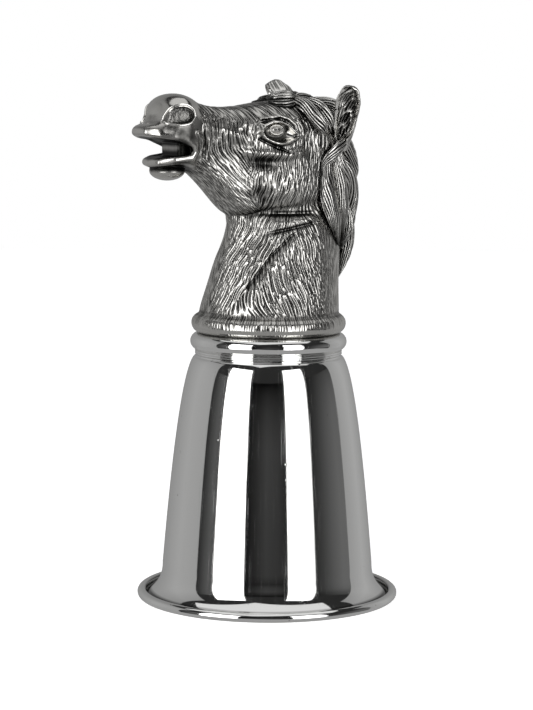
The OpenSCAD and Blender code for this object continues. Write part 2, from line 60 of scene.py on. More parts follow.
# Stations of the skull and jaw: X, height of top and bottom, half width.
SKULL = np.array([
    [-18.5, 59.4, 52, 3], [-16, 62.6, 47, 7.5], [-10, 64.6, 43, 10.6], [-3, 64.4, 42, 12],
    [4.6, 63.6, 43, 12.4], [11, 62.6, 45, 10.6], [18, 62.4, 47, 8.9], [23.9, 63.4, 48.6, 8.5],
    [27.6, 65.0, 48.6, 9.2], [30.2, 65.5, 50.6, 9.8], [33, 65.0, 53.2, 9.3], [34.8, 63.2, 53.8, 8.4],
    [36.1, 59.6, 54.1, 7.6], [37.6, 58.0, 54.3, 7.0], [39.2, 57.3, 54.5, 5.6], [40.4, 56.6, 54.9, 3.5]])
JAW = np.array([
    [-11.6, 51, 36.8, 8.6], [-9.6, 53, 33.4, 11.4], [0, 55, 32.8, 12.2], [8, 53, 32.2, 11.2],
    [11, 52.4, 32.3, 10.2], [14, 52.4, 34.0, 9.2], [20, 52.8, 40.2, 8], [23.6, 53.2, 43.6, 7.8],
    [26.2, 52.6, 45.3, 7.8], [29.8, 49.8, 46.2, 7.4], [33.6, 49, 46.6, 6.4], [36.8, 48.4, 46.8, 3.4]])
# Stations of the neck: height, middle in X, half length, half width.
NECK = np.array([
    [2.7, 0, 19.5, 19.5], [6.6, -0.2, 19.4, 19.2], [14, -1.4, 18.6, 17], [20, -2.6, 18.1, 15],
    [26, -4, 17.1, 13.5], [30, -4.5, 16.8, 12.2], [33, -4.4, 16.9, 11.2], [38, -6, 15, 10.2],
    [46, -9, 11.5, 9.6], [56, -11, 8.5, 9], [62, -12, 5, 6]])
# The box in which the left half is looked for, and the height where the head's surface meets the neck's.
HEAD_LOW, HEAD_HIGH = (-23, 0, -1.0), (43, 23, 69)
THROAT = 33.4
# The bead at the neck's foot: radius of its ring, and half its thickness.
FOOT_RING, FOOT_BEAD = 18.8, 2.7
# The power that rounds the face's sections: 2 gives an ellipse, and more is squarer.
SECTION_POWER = 2.6
# Rounded lumps that fill out the face: middle, half sizes, and the width over which each blends in.
JOWL = ((-1, 5.4, 41.5), (10.4, 7.6, 8.4), 2.0)
NOSE = ((30.2, 0, 59.9), (6.5, 9.4, 5.7), 1.2)
UPPER_LIP = ((35.4, 0, 55.8), (5.2, 7.4, 2.1), 1.2)
CHIN = ((32.0, 0, 45.1), (4.6, 5.4, 2.6), 0.9)
# The mouth: X of its corner, then the height of its middle and half its gap at one X, and how both grow
# forward.
MOUTH_CORNER, MOUTH_AT, MOUTH_HEIGHT, MOUTH_GAP = 27.7, 34, 51.3, 2.2
MOUTH_RISE, MOUTH_SPREAD = 0.11, 0.13
# The tongue: X and height of its middle, and half its length, width and height.
TONGUE_X, TONGUE_Z, TONGUE_HALF = 26.2, 51.0, (5.0, 5.4, 2.8)
# Folds round the throat: height on the axis, fall along X, width, and how far they stand out.
FOLDS = [(31.2, 0.1, 1.4, 0.6), (33.4, 0.0, 0.7, -0.7), (29.3, 0.2, 0.5, -0.5)]
# The eyeball: middle, half length, half height, how far it bulges, and the way it looks.
EYE = np.array([4.6, 10.3, 56.0])
EYE_LENGTH, EYE_HEIGHT, EYE_BULGE = 3.9, 2.7, 2.6
EYE_OUT = np.array([0.2, 0.96, 0.12])
# Rings on the eyeball round the iris and the pupil: share of the radius, width, and height as a share.
IRIS = [(0.5, 0.07, 1.0), (0.36, 0.07, -0.8), (0.63, 0.06, -0.9), (0.0, 0.12, 0.6)]
IRIS_HEIGHT = 0.26
# The nostril: middle, half sizes, how fast it narrows, depth, half the rim's thickness, and the ways along
# it and out of it.
NOSTRIL = np.array([32.7, 7.8, 59.7])
NOSTRIL_LENGTH, NOSTRIL_HEIGHT, NOSTRIL_TAPER = 5.0, 2.4, 0.055
NOSTRIL_DEPTH, NOSTRIL_RIM = 0.7, 0.27
NOSTRIL_WAY, NOSTRIL_OUT = np.array([0.9, -0.42, -0.14]), np.array([0.43, 0.85, 0.27])

# Lines on the side of the head, in X and height, with how far they stand out and how wide they are.
SIDE_LINES = [
    ([(9.3, 56.3), (8.5, 57.4), (5.7, 58.5), (3.5, 58.3), (1.3, 57.3), (-0.5, 55.4)], 1.3, 0.55),
    ([(8.6, 59.4), (6.0, 59.7), (3.5, 60.0), (1.2, 59.3), (-0.8, 57.6), (-1.5, 55.2)], 1.0, 0.6),
    ([(8.9, 58.4), (6.0, 59.1), (3.5, 59.2), (1.3, 58.3), (-0.4, 56.6)], -0.2, 0.35),
    ([(9.3, 55.6), (8.2, 54.0), (6.0, 52.9), (3.8, 52.4), (1.3, 52.9), (-1.5, 54.2)], 1.2, 0.55),
    ([(9.4, 53.8), (5.1, 51.7), (1.2, 50.2)], -0.55, 0.4),
    ([(-1.7, 59.5), (-2.9, 57.2), (-3.2, 55.0)], 0.9, 0.9),
    ([(13.5, 50.2), (8.0, 49.8), (1.5, 49.5), (-3.0, 50.2)], 0.9, 1.2),
    ([(24.0, 56.6), (18.0, 55.6), (12.5, 53.6)], 0.7, 1.6),
    ([(27.6, 55.4), (25.6, 52.8), (26.0, 49.4)], 0.55, 0.6),
    ([(25.0, 56.9), (23.6, 53.4), (24.2, 48.4)], 0.45, 0.7),
    ([(-0.6, 28.0), (6.5, 21.9), (12.8, 13.6)], -0.5, 0.45),
    ([(-1.6, 27.2), (5.4, 20.9), (11.5, 12.8)], 0.3, 0.9),
]
# Shallow dents on the side of the head: middle in X and height, half sizes, depth, share that is flat,
# and how far painted shade in it takes the brightness away.
SIDE_DENTS = [
    ((4.4, 55.5), (4.7, 2.9), 1.9, 0.35, 0.0),
    ((7.2, 47.3), (6.0, 2.4), 1.0, 0.0, 0.3),
    ((9.0, 38.6), (5.0, 3.2), 0.6, 0.1, 0.4),
    ((15.6, 51.8), (3.0, 2.2), 0.5, 0.0, 0.2),
    ((19.6, 47.6), (2.6, 2.0), 0.3, 0.0, 0.1),
    ((-6.0, 51.5), (3.6, 5.2), 0.6, 0.3, 0.1),
    ((31.2, 55.0), (4.8, 4.4), 0.1, 0.0, 0.56),
]
# The lips' rolled edge, from the middle of the upper lip round the corner to the lower lip, and half its
# thickness.
LIP_ROLL = [
    (40.2, 0.0, 55.7), (39.6, 3.2, 55.5), (37, 6.5, 54.9), (34, 8.2, 54.3), (30.6, 8.5, 53.4),
    (28.3, 8.3, 52.1), (27.7, 8.0, 50.4), (28.6, 7.8, 48.9), (33.2, 7.0, 48.2), (36.4, 4.2, 47.5),
    (37.5, 0.0, 47.2)]
LIP_HALF = 0.84

# Locks of hair on the near side: points of the middle line, half width, flatness.
MANE_LOCKS = [
    ([(-16, 6.5, 56), (-19.6, 6.6, 53), (-22.8, 4.8, 48.5), (-24.4, 3.5, 43.5), (-22.6, 4.4, 39)], 3.1, 0.8),
    ([(-15.2, 8.4, 52), (-17, 9, 47), (-19.4, 8.2, 42), (-21.6, 6.6, 37)], 2.5, 0.8),
    ([(-18, 6.6, 49), (-21.6, 6.2, 44), (-24.0, 4.2, 38.5), (-24.0, 2.8, 32), (-22.0, 4.6, 27),
      (-18.8, 7.4, 23)], 2.9, 0.8),
    ([(-21, 4, 36.5), (-23.5, 3, 30), (-24.2, 1.8, 24.5), (-22.6, 1.8, 19), (-20.2, 2.6, 13.8)], 2.7, 0.8),
    ([(-12.8, 9.6, 51), (-12.2, 10.6, 44), (-12.7, 11, 37), (-15, 10.6, 30.5), (-16.8, 9.6, 24)], 3.3, 0.55),
    ([(-15.2, 9, 51), (-16.4, 10, 43.5), (-18, 9.6, 35), (-19, 8.4, 27.5)], 2.8, 0.65),
    ([(-19.4, 9.4, 54.6), (-17, 11, 52.6), (-14.2, 11.9, 50.4), (-11.4, 11.7, 47.6), (-9.6, 11.2, 44.6)],
     1.7, 0.8),
]
MANE_MIDDLE = [
    ([(-10.5, 0, 60.5), (-15.6, 0.2, 61.2), (-20.4, 0.3, 56), (-24, 0, 48), (-25, 0.5, 41), (-23.6, 0, 34.5)],
     3.1, 0.9),
    ([(-21.4, 0, 44), (-24.4, 0, 38), (-24.8, 0, 30), (-23.2, 0, 23), (-20.4, 0, 14.4)], 2.9, 0.9),
]
FORELOCK_LOCKS = [
    ([(-4, 6, 64), (-5.2, 10, 62.8), (-6.8, 12.2, 60), (-9.0, 12.9, 57.2), (-10.4, 12.6, 55)], 2.0, 0.9),
    ([(-7.8, 6.4, 64.2), (-9.8, 10.2, 62.6), (-11.6, 11.6, 59.8), (-13, 11.8, 57)], 1.6, 0.9),
    ([(-5, 6.6, 63.6), (-1.6, 8, 63.2), (1.6, 7, 63), (3, 4, 63.4)], 1.3, 0.75),
    ([(-7, 4, 64.6), (-3.4, 5.6, 65), (0.4, 4.6, 64.6), (2, 1.6, 64.4)], 1.4, 0.75),
    ([(-14, 4, 61.6), (-11, 4.8, 63.6), (-8, 4, 64.8), (-5, 3.6, 64.8)], 2.0, 0.75),
    ([(-9.4, 4.4, 63.4), (-12.6, 6.8, 63.6), (-15.6, 8.8, 62.6), (-17.6, 9.6, 59.5)], 2.1, 0.85),
]
FORELOCK_MIDDLE = [
    ([(-14.4, 0, 58.4), (-12.4, 0, 63.2), (-8, 0.3, 65), (-4, 0, 64.8)], 2.4, 0.7),
    ([(-9, 0.8, 65), (-5, 2.2, 65.8), (-1.6, 0.8, 65.4), (0.6, -1.4, 64.6)], 1.7, 0.75),
]

# The share of a lock's length over which its end tapers, and the distance between its strands.
MANE_TAPER, FORELOCK_TAPER = 0.32, 0.18
STRAND = 0.8
# The upright line that the locks face away from: its X and its top.
HAIR_AXIS_X, HAIR_AXIS_TOP = -8.0, 58

# The ear's section up its length: share of the length, of the half width, and half the angle it closes.
EAR = np.array([
    [-0.15, 0.6, 158], [0, 0.68, 150], [0.2, 0.84, 125], [0.4, 0.92, 112], [0.6, 1, 104], [0.77, 0.98, 100],
    [0.9, 0.8, 97], [1, 0.66, 92]])
# Where the ears stand, how far they are turned out, and the thickness of their wall.
EAR_ROOT = (-17.5, 9.9, 53.4)
EAR_TURN, EAR_WALL = -45, 0.95
# Each ear's side, shares of the length and width, lean and tilt: the right one is pricked further forward.
EARS = {"left": (1, 1.0, 1.0, 25, 7), "right": (-1, 1.2, 1.4, 29, 24)}

# The bowl: width at the crown and at the flare, thickness of the sheet, height of the flare, radius of the
# screw's hole, and radius by which the crown's edge is rounded.
CROWN_WIDTH, WAIST_WIDTH, SHEET, FLARE_HEIGHT = 40.2, 58.8, 0.8, 9.6
SCREW_HOLE, CROWN_ROUND = 2.75, 0.5
# The rolled lip: its radius, half the width that it rests on, and the angles between which it curls.
ROLL, REST_HALF, CURL_FROM, CURL_TO = 1.34, 0.6, -115, 140
# The collar: radius of its bore, and the rings and half thicknesses of its fillets and its bead.
COLLAR_BORE, FILLET_RING, FILLET, BEAD_RING, BEAD = 12.0, 20.2, 0.3, 19.4, 2.4

# The camera: metres from the axis and above the floor, degrees forward of the horse's left side, how far it
# looks down, its roll and turn, and its lens.
CAMERA_FAR, CAMERA_HEIGHT, CAMERA_FORWARD = 0.6306, 0.1386, 30.35
CAMERA_DOWN, CAMERA_ROLL, CAMERA_TURN, CAMERA_LENS = 6.395, -0.34, 149.735, 115.3
# Level directions from the cup: towards the camera, and to the right as the camera sees it.
AHEAD, RIGHT = np.array([0.5, 0.866]), np.array([-0.866, 0.5])
# Upright light cards: their ends in degrees from the camera, foot, head and distance in metres, the glow
# across them, and its share from foot to head.
UPRIGHT_CARDS = {
    "softbox_left": (-60, -25, -0.34, 0.8, 1.0, (2.6, 3.2, 3.2, 3.0, 2.2), (1, 1)),
    "softbox_right": (22, 53, -0.34, 0.8, 1.0, (2.4, 3.2, 3.2, 2.6, 1.2), (1, 1)),
    "wall_right": (101, 182, -1.4, 1.4, 1.5, (0.34, 0.42, 0.32, 0.25), (0.7, 1, 1.05, 0.8)),
    "wall_left": (-178, -82, -1.4, 1.4, 1.5, (0.25, 0.32, 0.4, 0.36), (0.7, 1, 1.05, 0.8)),
    "room_front": (-28, 25, -0.3, 0.7, 1.6, (0.0, 0.02, 0.045, 0.035, 0.01), (0.3, 1, 1.2, 0.6, 0)),
    "room_right": (50, 104, -0.3, 0.7, 1.6, (0.015, 0.05, 0.1, 0.14, 0.14), (1, 1, 0.9, 0.6, 0.4)),
    "room_left": (-86, -57, -0.3, 0.7, 1.6, (0.0, 0.05, 0.1, 0.06), (1, 1)),
}
# Level light cards: half width, height and glow.
LEVEL_CARDS = {"card_above": (1.1, 1.7, 0.8), "card_below": (1.3, -0.45, 0.36)}
# The floor's half width, the glow that the camera sees on it, and the surround's light on the cup.
FLOOR_HALF, FLOOR_GLOW, SURROUND = 4, 0.72, 0.025


class CupSizes(PropertyGroup):
    """Sizes of the surfaces, in metres."""

    crown_height: FloatProperty(
        name="Crown height", description="Height of the bowl's crown above the floor",
        default=0.0684, min=0.05, max=0.09, unit="LENGTH")
    collar_height: FloatProperty(
        name="Collar height", description="Height of the collar between bowl and neck",
        default=0.006, min=0.004, max=0.008, unit="LENGTH")
    lip_width: FloatProperty(
        name="Lip width", description="Diameter over the rolled lip",
        default=0.073, min=0.068, max=0.08, unit="LENGTH")
    head_step: FloatProperty(
        name="Head grid", description="Side of the grid's cells in which the head's surface is found",
        default=0.00039, min=0.0003, max=0.001, unit="LENGTH")
    hair_pitch: FloatProperty(
        name="Hair pitch", description="Distance between the strokes of hair cut into the head",
        default=0.0006, min=0.0005, max=0.002, unit="LENGTH")
    hair_depth: FloatProperty(
        name="Hair depth", description="Depth of the strokes of hair",
        default=0.0003, min=0.0, max=0.0005, unit="LENGTH")
    hair_length: FloatProperty(
        name="Hair length", description="Length of one stroke of hair",
        default=0.0062, min=0.002, max=0.01, unit="LENGTH")
    ear_length: FloatProperty(
        name="Ear length", description="Length of an ear",
        default=0.016, min=0.014, max=0.019, unit="LENGTH")
    ear_width: FloatProperty(
        name="Ear width", description="Width of an ear",
        default=0.0067, min=0.006, max=0.0084, unit="LENGTH")


class CupColours(PropertyGroup):
    """Colours of the metals and of the studio."""

    bowl: FloatVectorProperty(
        name="Bowl", description="Colour of the polished bowl and collar", subtype="COLOR",
        size=4, default=(0.84, 0.84, 0.83, 1), min=0, max=1)
    bright: FloatVectorProperty(
        name="Head, worn", description="Colour of the cast head where it is rubbed bright",
        subtype="COLOR", size=4, default=(0.6, 0.59, 0.565, 1), min=0, max=1)
    hair: FloatVectorProperty(
        name="Mane, worn", description="Colour of the mane, forelock and ears where they are rubbed bright",
        subtype="COLOR", size=4, default=(0.82, 0.81, 0.78, 1), min=0, max=1)
    # Also the colour of the painted shade in hollows and creases, in the bowl's crack and at the eyeball's
    # edge.
    dark: FloatVectorProperty(
        name="Head, tarnished", description="Colour of the tarnish in the cast head's hollows",
        subtype="COLOR", size=4, default=(0.012, 0.012, 0.011, 1), min=0, max=1)
    steel: FloatVectorProperty(
        name="Fittings", description="Colour of the screw, the plate and the rim's wire",
        subtype="COLOR", size=4, default=(0.55, 0.55, 0.54, 1), min=0, max=1)
    washer: FloatVectorProperty(
        name="Washer", description="Colour of the sealing washer", subtype="COLOR",
        size=4, default=(0.03, 0.03, 0.03, 1), min=0, max=1)
    floor: FloatVectorProperty(
        name="Floor", description="Colour of the studio's floor", subtype="COLOR",
        size=4, default=(0.85, 0.85, 0.85, 1), min=0, max=1)


def smoothstep(a, b, x):
    """0 below a, 1 above b, and a smooth cubic between."""
    t = np.clip((x - a) / (b - a), 0, 1)
    return t * t * (3 - 2 * t)


def smooth_min(a, b, k):
    """The lesser of two fields, rounded off over the width k."""
    m = np.maximum(k - np.abs(a - b), 0) / k
    return np.minimum(a, b) - m * m * k / 4


def smooth_max(a, b, k):
    """The greater of two fields, rounded off over the width k."""
    return -smooth_min(-a, -b, k)


def unit(v):
    """Vectors brought to the length 1."""
    return v / (np.linalg.norm(v, axis=-1, keepdims=True) + 1e-12)


def along(table, x):
    """Columns of a table at places x, on cubic curves through its stations; held at both ends."""
    s = table[:, 0]
    slope = np.gradient(table, axis=0) / np.gradient(s)[:, None]
    x = np.clip(x, s[0], s[-1])
    i = np.clip(np.searchsorted(s, x, side="right") - 1, 0, len(s) - 2)
    h = s[i + 1] - s[i]
    u = (x - s[i]) / h
    out = []
    for k in range(1, table.shape[1]):
        a, b = table[i, k], table[i + 1, k]
        out.append(a * (1 + 2 * u) * (1 - u) ** 2 + b * u * u * (3 - 2 * u)
                   + h * u * (1 - u) * (slope[i, k] * (1 - u) - slope[i + 1, k] * u))
    return out


def ellipsoid(middle, half, x, y, z):
    """Nearly the distance to an ellipsoid: k0 (k0 - 1) / k1 with k0 = |p / r| and k1 = |p / r^2|."""
    p = [(v - m) / r for v, m, r in zip((x, y, z), middle, half)]
    k0 = np.sqrt(p[0] ** 2 + p[1] ** 2 + p[2] ** 2) + 1e-6
    k1 = np.sqrt((p[0] / half[0]) ** 2 + (p[1] / half[1]) ** 2 + (p[2] / half[2]) ** 2) + 1e-6
    return k0 * (k0 - 1) / k1


def face_loft(table, x, y, z, square=0.0, cap=1.6):
    """Nearly the distance to a loft of rounded squares: (q - 1) / |grad q| with
    q = (|y / w|^p + |(z - m) / h|^p)^(1/p), cut off at the table's ends. The power p is more by square
    under the middle m."""
    top, bottom, width = along(table, x)
    half = (top - bottom) / 2
    power = np.where(z < (top + bottom) / 2, SECTION_POWER + square, SECTION_POWER)
    a = np.abs(y) / width + 1e-6
    b = np.abs(z - (top + bottom) / 2) / half + 1e-6
    q = (a ** power + b ** power) ** (1 / power)
    g = q ** (1 - power) * np.sqrt((a ** (power - 1) / width) ** 2 + (b ** (power - 1) / half) ** 2)
    d = (q - 1) / np.maximum(g, 1e-3)
    d = smooth_max(d, x - table[-1, 0], cap)
    return smooth_max(d, table[0, 0] - x, cap)


def neck_field(x, y, z):
    """Nearly the distance to the neck, a loft of ellipses, with the round bead at its foot."""
    middle, a, b = along(NECK, z)
    u, v = (x - middle) / a, y / b
    q = np.sqrt(u * u + v * v) + 1e-6
    d = (q - 1) * q / np.sqrt((u / a) ** 2 + (v / b) ** 2 + 1e-8)
    d = smooth_max(d, z - NECK[-1, 0], 2)
    bead = np.hypot(np.hypot(x, y) - FOOT_RING, z - FOOT_BEAD) - FOOT_BEAD
    return smooth_min(d, bead, 0.7)


def chain(points, x, y, z):
    """Distance to a chain of straight lines."""
    best = np.inf
    for p, q in zip(points, points[1:]):
        d = [b - a for a, b in zip(p, q)]
        t = ((x - p[0]) * d[0] + (y - p[1]) * d[1] + (z - p[2]) * d[2]) / sum(v * v for v in d)
        t = np.clip(t, 0, 1)
        best = np.minimum(best, (x - p[0] - t * d[0]) ** 2 + (y - p[1] - t * d[1]) ** 2
                          + (z - p[2] - t * d[2]) ** 2)
    return np.sqrt(best)


def side_relief(x, z):
    """How far the side of the head stands out: bell-shaped lines, and dents with a flat bottom."""
    out = 0.0
    for (px, pz), (rx, rz), depth, flat, _ in SIDE_DENTS:
        out = out - depth * (1 - smoothstep(flat, 1.05, np.hypot((x - px) / rx, (z - pz) / rz)))
    for points, height, width in SIDE_LINES:
        d = chain([(px, 0.0, pz) for px, pz in points], x, 0.0, z)
        out = out + height * np.exp(-(d / width) ** 2)
    return out


def dent_shade(x, z):
    """The share of brightness that painted shade leaves on the side of the head: less inside the dents."""
    out = 1.0
    for (px, pz), (rx, rz), _, _, taken in SIDE_DENTS:
        out = out * (1 - taken * (1 - smoothstep(0.3, 1.1, np.hypot((x - px) / rx, (z - pz) / rz))))
    return out


def nostril_plane():
    """The nostril's own directions: forward along it, across it, and out of it."""
    e = unit(NOSTRIL_WAY)
    n = unit(NOSTRIL_OUT - e * (NOSTRIL_OUT @ e))
    return e, np.cross(n, e), n


def nostril_oval(x, y, z):
    """1 on the nostril's rim, an oval that narrows forward, less inside it, and the way out of its plane."""
    p = [x - NOSTRIL[0], y - NOSTRIL[1], z - NOSTRIL[2]]
    a, b, c = (sum(v * w for v, w in zip(p, k)) for k in nostril_plane())
    narrow = 1 - NOSTRIL_TAPER * np.clip(a, -NOSTRIL_LENGTH, NOSTRIL_LENGTH)
    return np.hypot(a / NOSTRIL_LENGTH, b / (NOSTRIL_HEIGHT * narrow)), c


def nostril_relief(x, y, z):
    """The nostril's dish: steep sides, a stippled bottom, and shallower towards the front."""
    q, c = nostril_oval(x, y, z)
    stipple = 0.045 * np.sin(5.2 * x + 1.5 * np.sin(3.7 * z)) * np.sin(4.6 * z + 1.2 * np.sin(4.1 * x))
    depth = NOSTRIL_DEPTH * (1 - 0.8 * smoothstep(33.0, 36.0, x)) + stipple
    return -depth * np.exp(-(c / 4.0) ** 4) * (1 - smoothstep(0.74, 0.98, q))


def swell(field, lump, x, y, z):
    """A field joined with a rounded lump by a rounded minimum."""
    middle, half, blend = lump
    return smooth_min(field, ellipsoid(middle, half, x, y, z), blend)


def head_field(x, y, z):
    """Nearly the distance to the smooth head and neck: lofts and rolls joined by rounded minima,
    the mouth taken away by rounded maxima, and the side's relief taken off the distance."""
    y = np.abs(y)
    skull = face_loft(SKULL, x, y, z, 2.0 * smoothstep(27, 31, x))
    jaw = swell(face_loft(JAW, x, y, z), JOWL, x, y, z)
    face = smooth_min(skull, jaw, 2.2 - 1.95 * smoothstep(22, 30, x))
    for lump in (NOSE, UPPER_LIP, CHIN):
        face = swell(face, lump, x, y, z)
    face = face - smoothstep(4, 7.5, y) * smoothstep(33.5, 36, z) * side_relief(x, z)
    face = face - nostril_relief(x, y, z)
    gap = MOUTH_GAP + MOUTH_SPREAD * (x - MOUTH_AT)
    mouth = np.abs(z - MOUTH_HEIGHT - MOUTH_RISE * (x - MOUTH_AT)) - gap
    face = smooth_max(face, -smooth_max(mouth, MOUTH_CORNER - x, 1.2), 0.5)
    long, wide, high = TONGUE_HALF
    tongue = smooth_max(np.abs(x - TONGUE_X) - long, y - wide, 1.5)
    tongue = smooth_max(tongue, np.abs(z - TONGUE_Z) - high, 0.5)
    face = smooth_min(face, tongue, 0.4)
    face = smooth_min(face, chain(LIP_ROLL, x, y, z) - LIP_HALF, 1.7)
    neck = neck_field(x, y, z)
    band = smoothstep(-10, -6, x) * smoothstep(0.5, 0.95, np.arctan2(y, x + 4.5))
    for level, fall, wide, out in FOLDS:
        neck = neck - band * out * np.exp(-((z - level + fall * x) / wide) ** 2)
    neck = neck - smoothstep(4, 7.5, y) * (1 - smoothstep(29, 31, z)) * side_relief(x, z)
    whole = smooth_min(face, neck, 0.8 + 2.6 * smoothstep(42, 50, z))
    return smooth_max(whole, -z, 0.3)


def surface_net(field, low, counts, step):
    """The surface where a field is zero, as a net: one point in each cell of the grid that the
    surface crosses, at the mean of the crossings on its edges, and a quad round each crossed edge."""
    axes = [(low[k] + step * np.arange(counts[k])).astype(np.float32) for k in range(3)]
    values = field(axes[0][:, None, None], axes[1][None, :, None], axes[2][None, None, :])
    inside = values < 0
    corner = np.array([(i, j, k) for i in (0, 1) for j in (0, 1) for k in (0, 1)])
    cut = [tuple(slice(o, n - 1 + o) for o, n in zip(c, counts)) for c in corner]
    count = sum(inside[c].astype(np.int8) for c in cut)
    active = (count > 0) & (count < 8)
    cells = np.argwhere(active)
    number = np.full(active.shape, -1)
    number[active] = np.arange(len(cells))
    v = np.stack([values[c][active] for c in cut], 1).astype(float)
    total, hits = np.zeros((len(cells), 3)), np.zeros(len(cells))
    for a in range(8):
        for b in range(a + 1, 8):
            if np.abs(corner[a] - corner[b]).sum() == 1:
                crossed = (v[:, a] < 0) != (v[:, b] < 0)
                t = np.where(crossed, v[:, a] / np.where(crossed, v[:, a] - v[:, b], 1), 0)
                total += crossed[:, None] * (corner[a] + t[:, None] * (corner[b] - corner[a]))
                hits += crossed
    points = np.asarray(low) + step * (cells + total / hits[:, None])
    quads = []
    for axis in range(3):
        p, q = (axis + 1) % 3, (axis + 2) % 3
        lower = np.take(inside, range(counts[axis] - 1), axis)
        edges = np.argwhere(lower != np.take(inside, range(1, counts[axis]), axis))
        keep = (edges[:, p] > 0) & (edges[:, q] > 0)
        keep &= (edges[:, p] < counts[p] - 1) & (edges[:, q] < counts[q] - 1)
        edges = edges[keep]
        ring = []
        for dp, dq in ((1, 1), (0, 1), (0, 0), (1, 0)):
            e = edges.copy()
            e[:, p] -= dp
            e[:, q] -= dq
            ring.append(number[tuple(e.T)])
        ring = np.stack(ring, 1)
        out = lower[tuple(edges.T)]
        quads.append(np.where(out[:, None], ring, ring[:, ::-1]))
    return points, np.concatenate(quads)


def subdivide(points, quads):
    """Each quad in four, with new points in the middle of its edges and of itself."""
    ends = np.sort(np.concatenate([quads[:, [i, (i + 1) % 4]] for i in range(4)]), axis=1)
    edges, back = np.unique(ends, axis=0, return_inverse=True)
    side = len(points) + back.reshape(4, -1)
    centre = len(points) + len(edges) + np.arange(len(quads))
    new = np.concatenate([points, points[edges].mean(1), points[quads].mean(1)])
    return new, np.concatenate(
        [np.stack([quads[:, i], side[i], centre, side[i - 1]], 1) for i in range(4)])


def gradient(field, p, e=0.03):
    """Slope of a field at points, by differences over 2 e."""
    g = np.empty_like(p)
    for k in range(3):
        d = np.zeros(3)
        d[k] = e
        g[:, k] = field(*(p + d).T) - field(*(p - d).T)
    return g / (2 * e)


def settle(field, p, rounds=2):
    """Points moved onto the zero surface of a field by Newton's steps, and its unit normals there."""
    for _ in range(rounds):
        g = gradient(field, p)
        step = field(*p.T) / np.maximum((g * g).sum(1), 0.05)
        p = p - np.clip(step, -0.4, 0.4)[:, None] * g
    return p, unit(gradient(field, p))


def hashed(a, seed):
    """Even numbers from 0 to 1 that stay the same for the same whole numbers."""
    s = np.sin(a * 12.9898 + seed * 78.233) * 43758.5453
    return s - np.floor(s)


def strokes(u, v, pitch, length, seed, width=0.2):
    """Height from 0 to 1 of hair cut as grooves: a groove up the middle of each column across u,
    width wide and broken along v at places of its own, in two layers of which the deeper shows."""
    deep = 0.0
    for layer in range(2):
        w = u / (2 * pitch) + 0.5 * layer
        column = np.floor(w)
        run = v / length * (0.8 + 0.4 * hashed(column, seed + layer)) + 9 * hashed(column, seed + 7 + layer)
        row = np.floor(run)
        s = run - row
        shift = 0.5 + 0.22 * (hashed(column * 17 + row, seed + 5 + layer) - 0.5) + 0.1 * (s - 0.5)
        size = 0.6 + 0.4 * hashed(column * 31 + row, seed + 3 + layer)
        ends = np.clip(4 * np.minimum(s, 1 - s), 0, 1) ** 0.7
        deep = np.maximum(deep, size * ends * np.exp(-((w - column - shift) * 2 * pitch / width) ** 2))
    return 1 - deep


def head_hair(p, pitch, length):
    """Height from 0 to 1 of the cut hair on the head, and where there is hair, at points. Each part of the
    head has strokes of its own slant, and they pass into each other by smooth steps."""
    x, y, z = p[:, 0], np.abs(p[:, 1]), p[:, 2]
    wave = 0.5 * np.sin(0.31 * x + 0.47 * z) + 0.35 * np.sin(0.9 * x - 0.62 * z + 1.3)
    wave = wave + 0.3 * np.sin(1.1 * z + 0.7 * y)
    skull = face_loft(SKULL, x, y, z)
    jaw = face_loft(JAW, x, y, z)
    neck = neck_field(x, y, z)
    # The neck: strokes slant one way behind the crease that runs down it and the other way before it, and
    # stand upright on the bead.
    on_neck = smoothstep(-0.5, 0.5, np.minimum(skull, jaw) - neck) * (1 - smoothstep(44, 50, z))
    middle = along(NECK, z)[0]
    turn = np.arctan2(y, x - middle)
    arc = 16.5 * turn
    fold = (x - 1) * 0.79 + (z - 29) * 0.61
    slant = np.where(fold < 0, 0.5 * smoothstep(2.4, 1.4, turn) * smoothstep(0.2, 1.2, turn), -0.22)
    lower = strokes(arc + slant * (z - 18) + 0.35 * wave, z + 0.4 * wave, pitch, length, seed=3)
    bead = strokes(18.5 * np.arctan2(y, x) + 0.1 * wave, z * 1.1 + 3, pitch, length * 1.6, seed=11)
    low = smoothstep(6.6, 5.6, z)
    lower = lower * (1 - low) + (1 - 0.75 * (1 - bead)) * low
    # The face: cheek and front, the bridge of the nose above them and the jaw's underside below.
    rise = z - 52
    cheek = strokes(x + 0.16 * rise + 0.45 * wave, rise, pitch, length, seed=5)
    bent = 0.85 * x - 0.3 * rise + 0.035 * rise * rise + 0.4 * wave
    front = strokes(bent, rise - 0.3 * x, pitch, length, seed=17)
    bridge = strokes(1.05 * x - 0.5 * rise + 0.3 * wave, rise + 0.4 * x, pitch, length, seed=23, width=0.26)
    under = strokes(0.7 * x - 0.7 * z - y + 0.4 * wave, x + z, pitch, length, seed=29)
    ahead = smoothstep(9, 14, x)
    upper = smoothstep(57, 59.5, z - 0.12 * (x - 12))
    below = smoothstep(-1, 1.5, 40.2 + 0.85 * (x - 13.6) - z) * smoothstep(6, 9, x)
    face = cheek * (1 - ahead) + front * ahead
    face = face * (1 - upper) + bridge * upper
    face = face * (1 - below) + under * below
    fine = on_neck * smoothstep(1.7, 2.1, turn)
    lower = 1 - (1 - lower) * (1 - 0.4 * fine)
    height = face * (1 - on_neck) + lower * on_neck
    hairy = (1 - smoothstep(25.0, 27.4, x + 0.8 * np.sin(0.9 * z))) * (0.3 + 0.7 * smoothstep(2.0, 3.8, z))
    eye = np.hypot((x - 3.6) / 6.6, (z - EYE[2]) / 4.6)
    hairy = hairy * np.where(z > 45, smoothstep(0.75, 1.1, eye), 1)
    return height, hairy


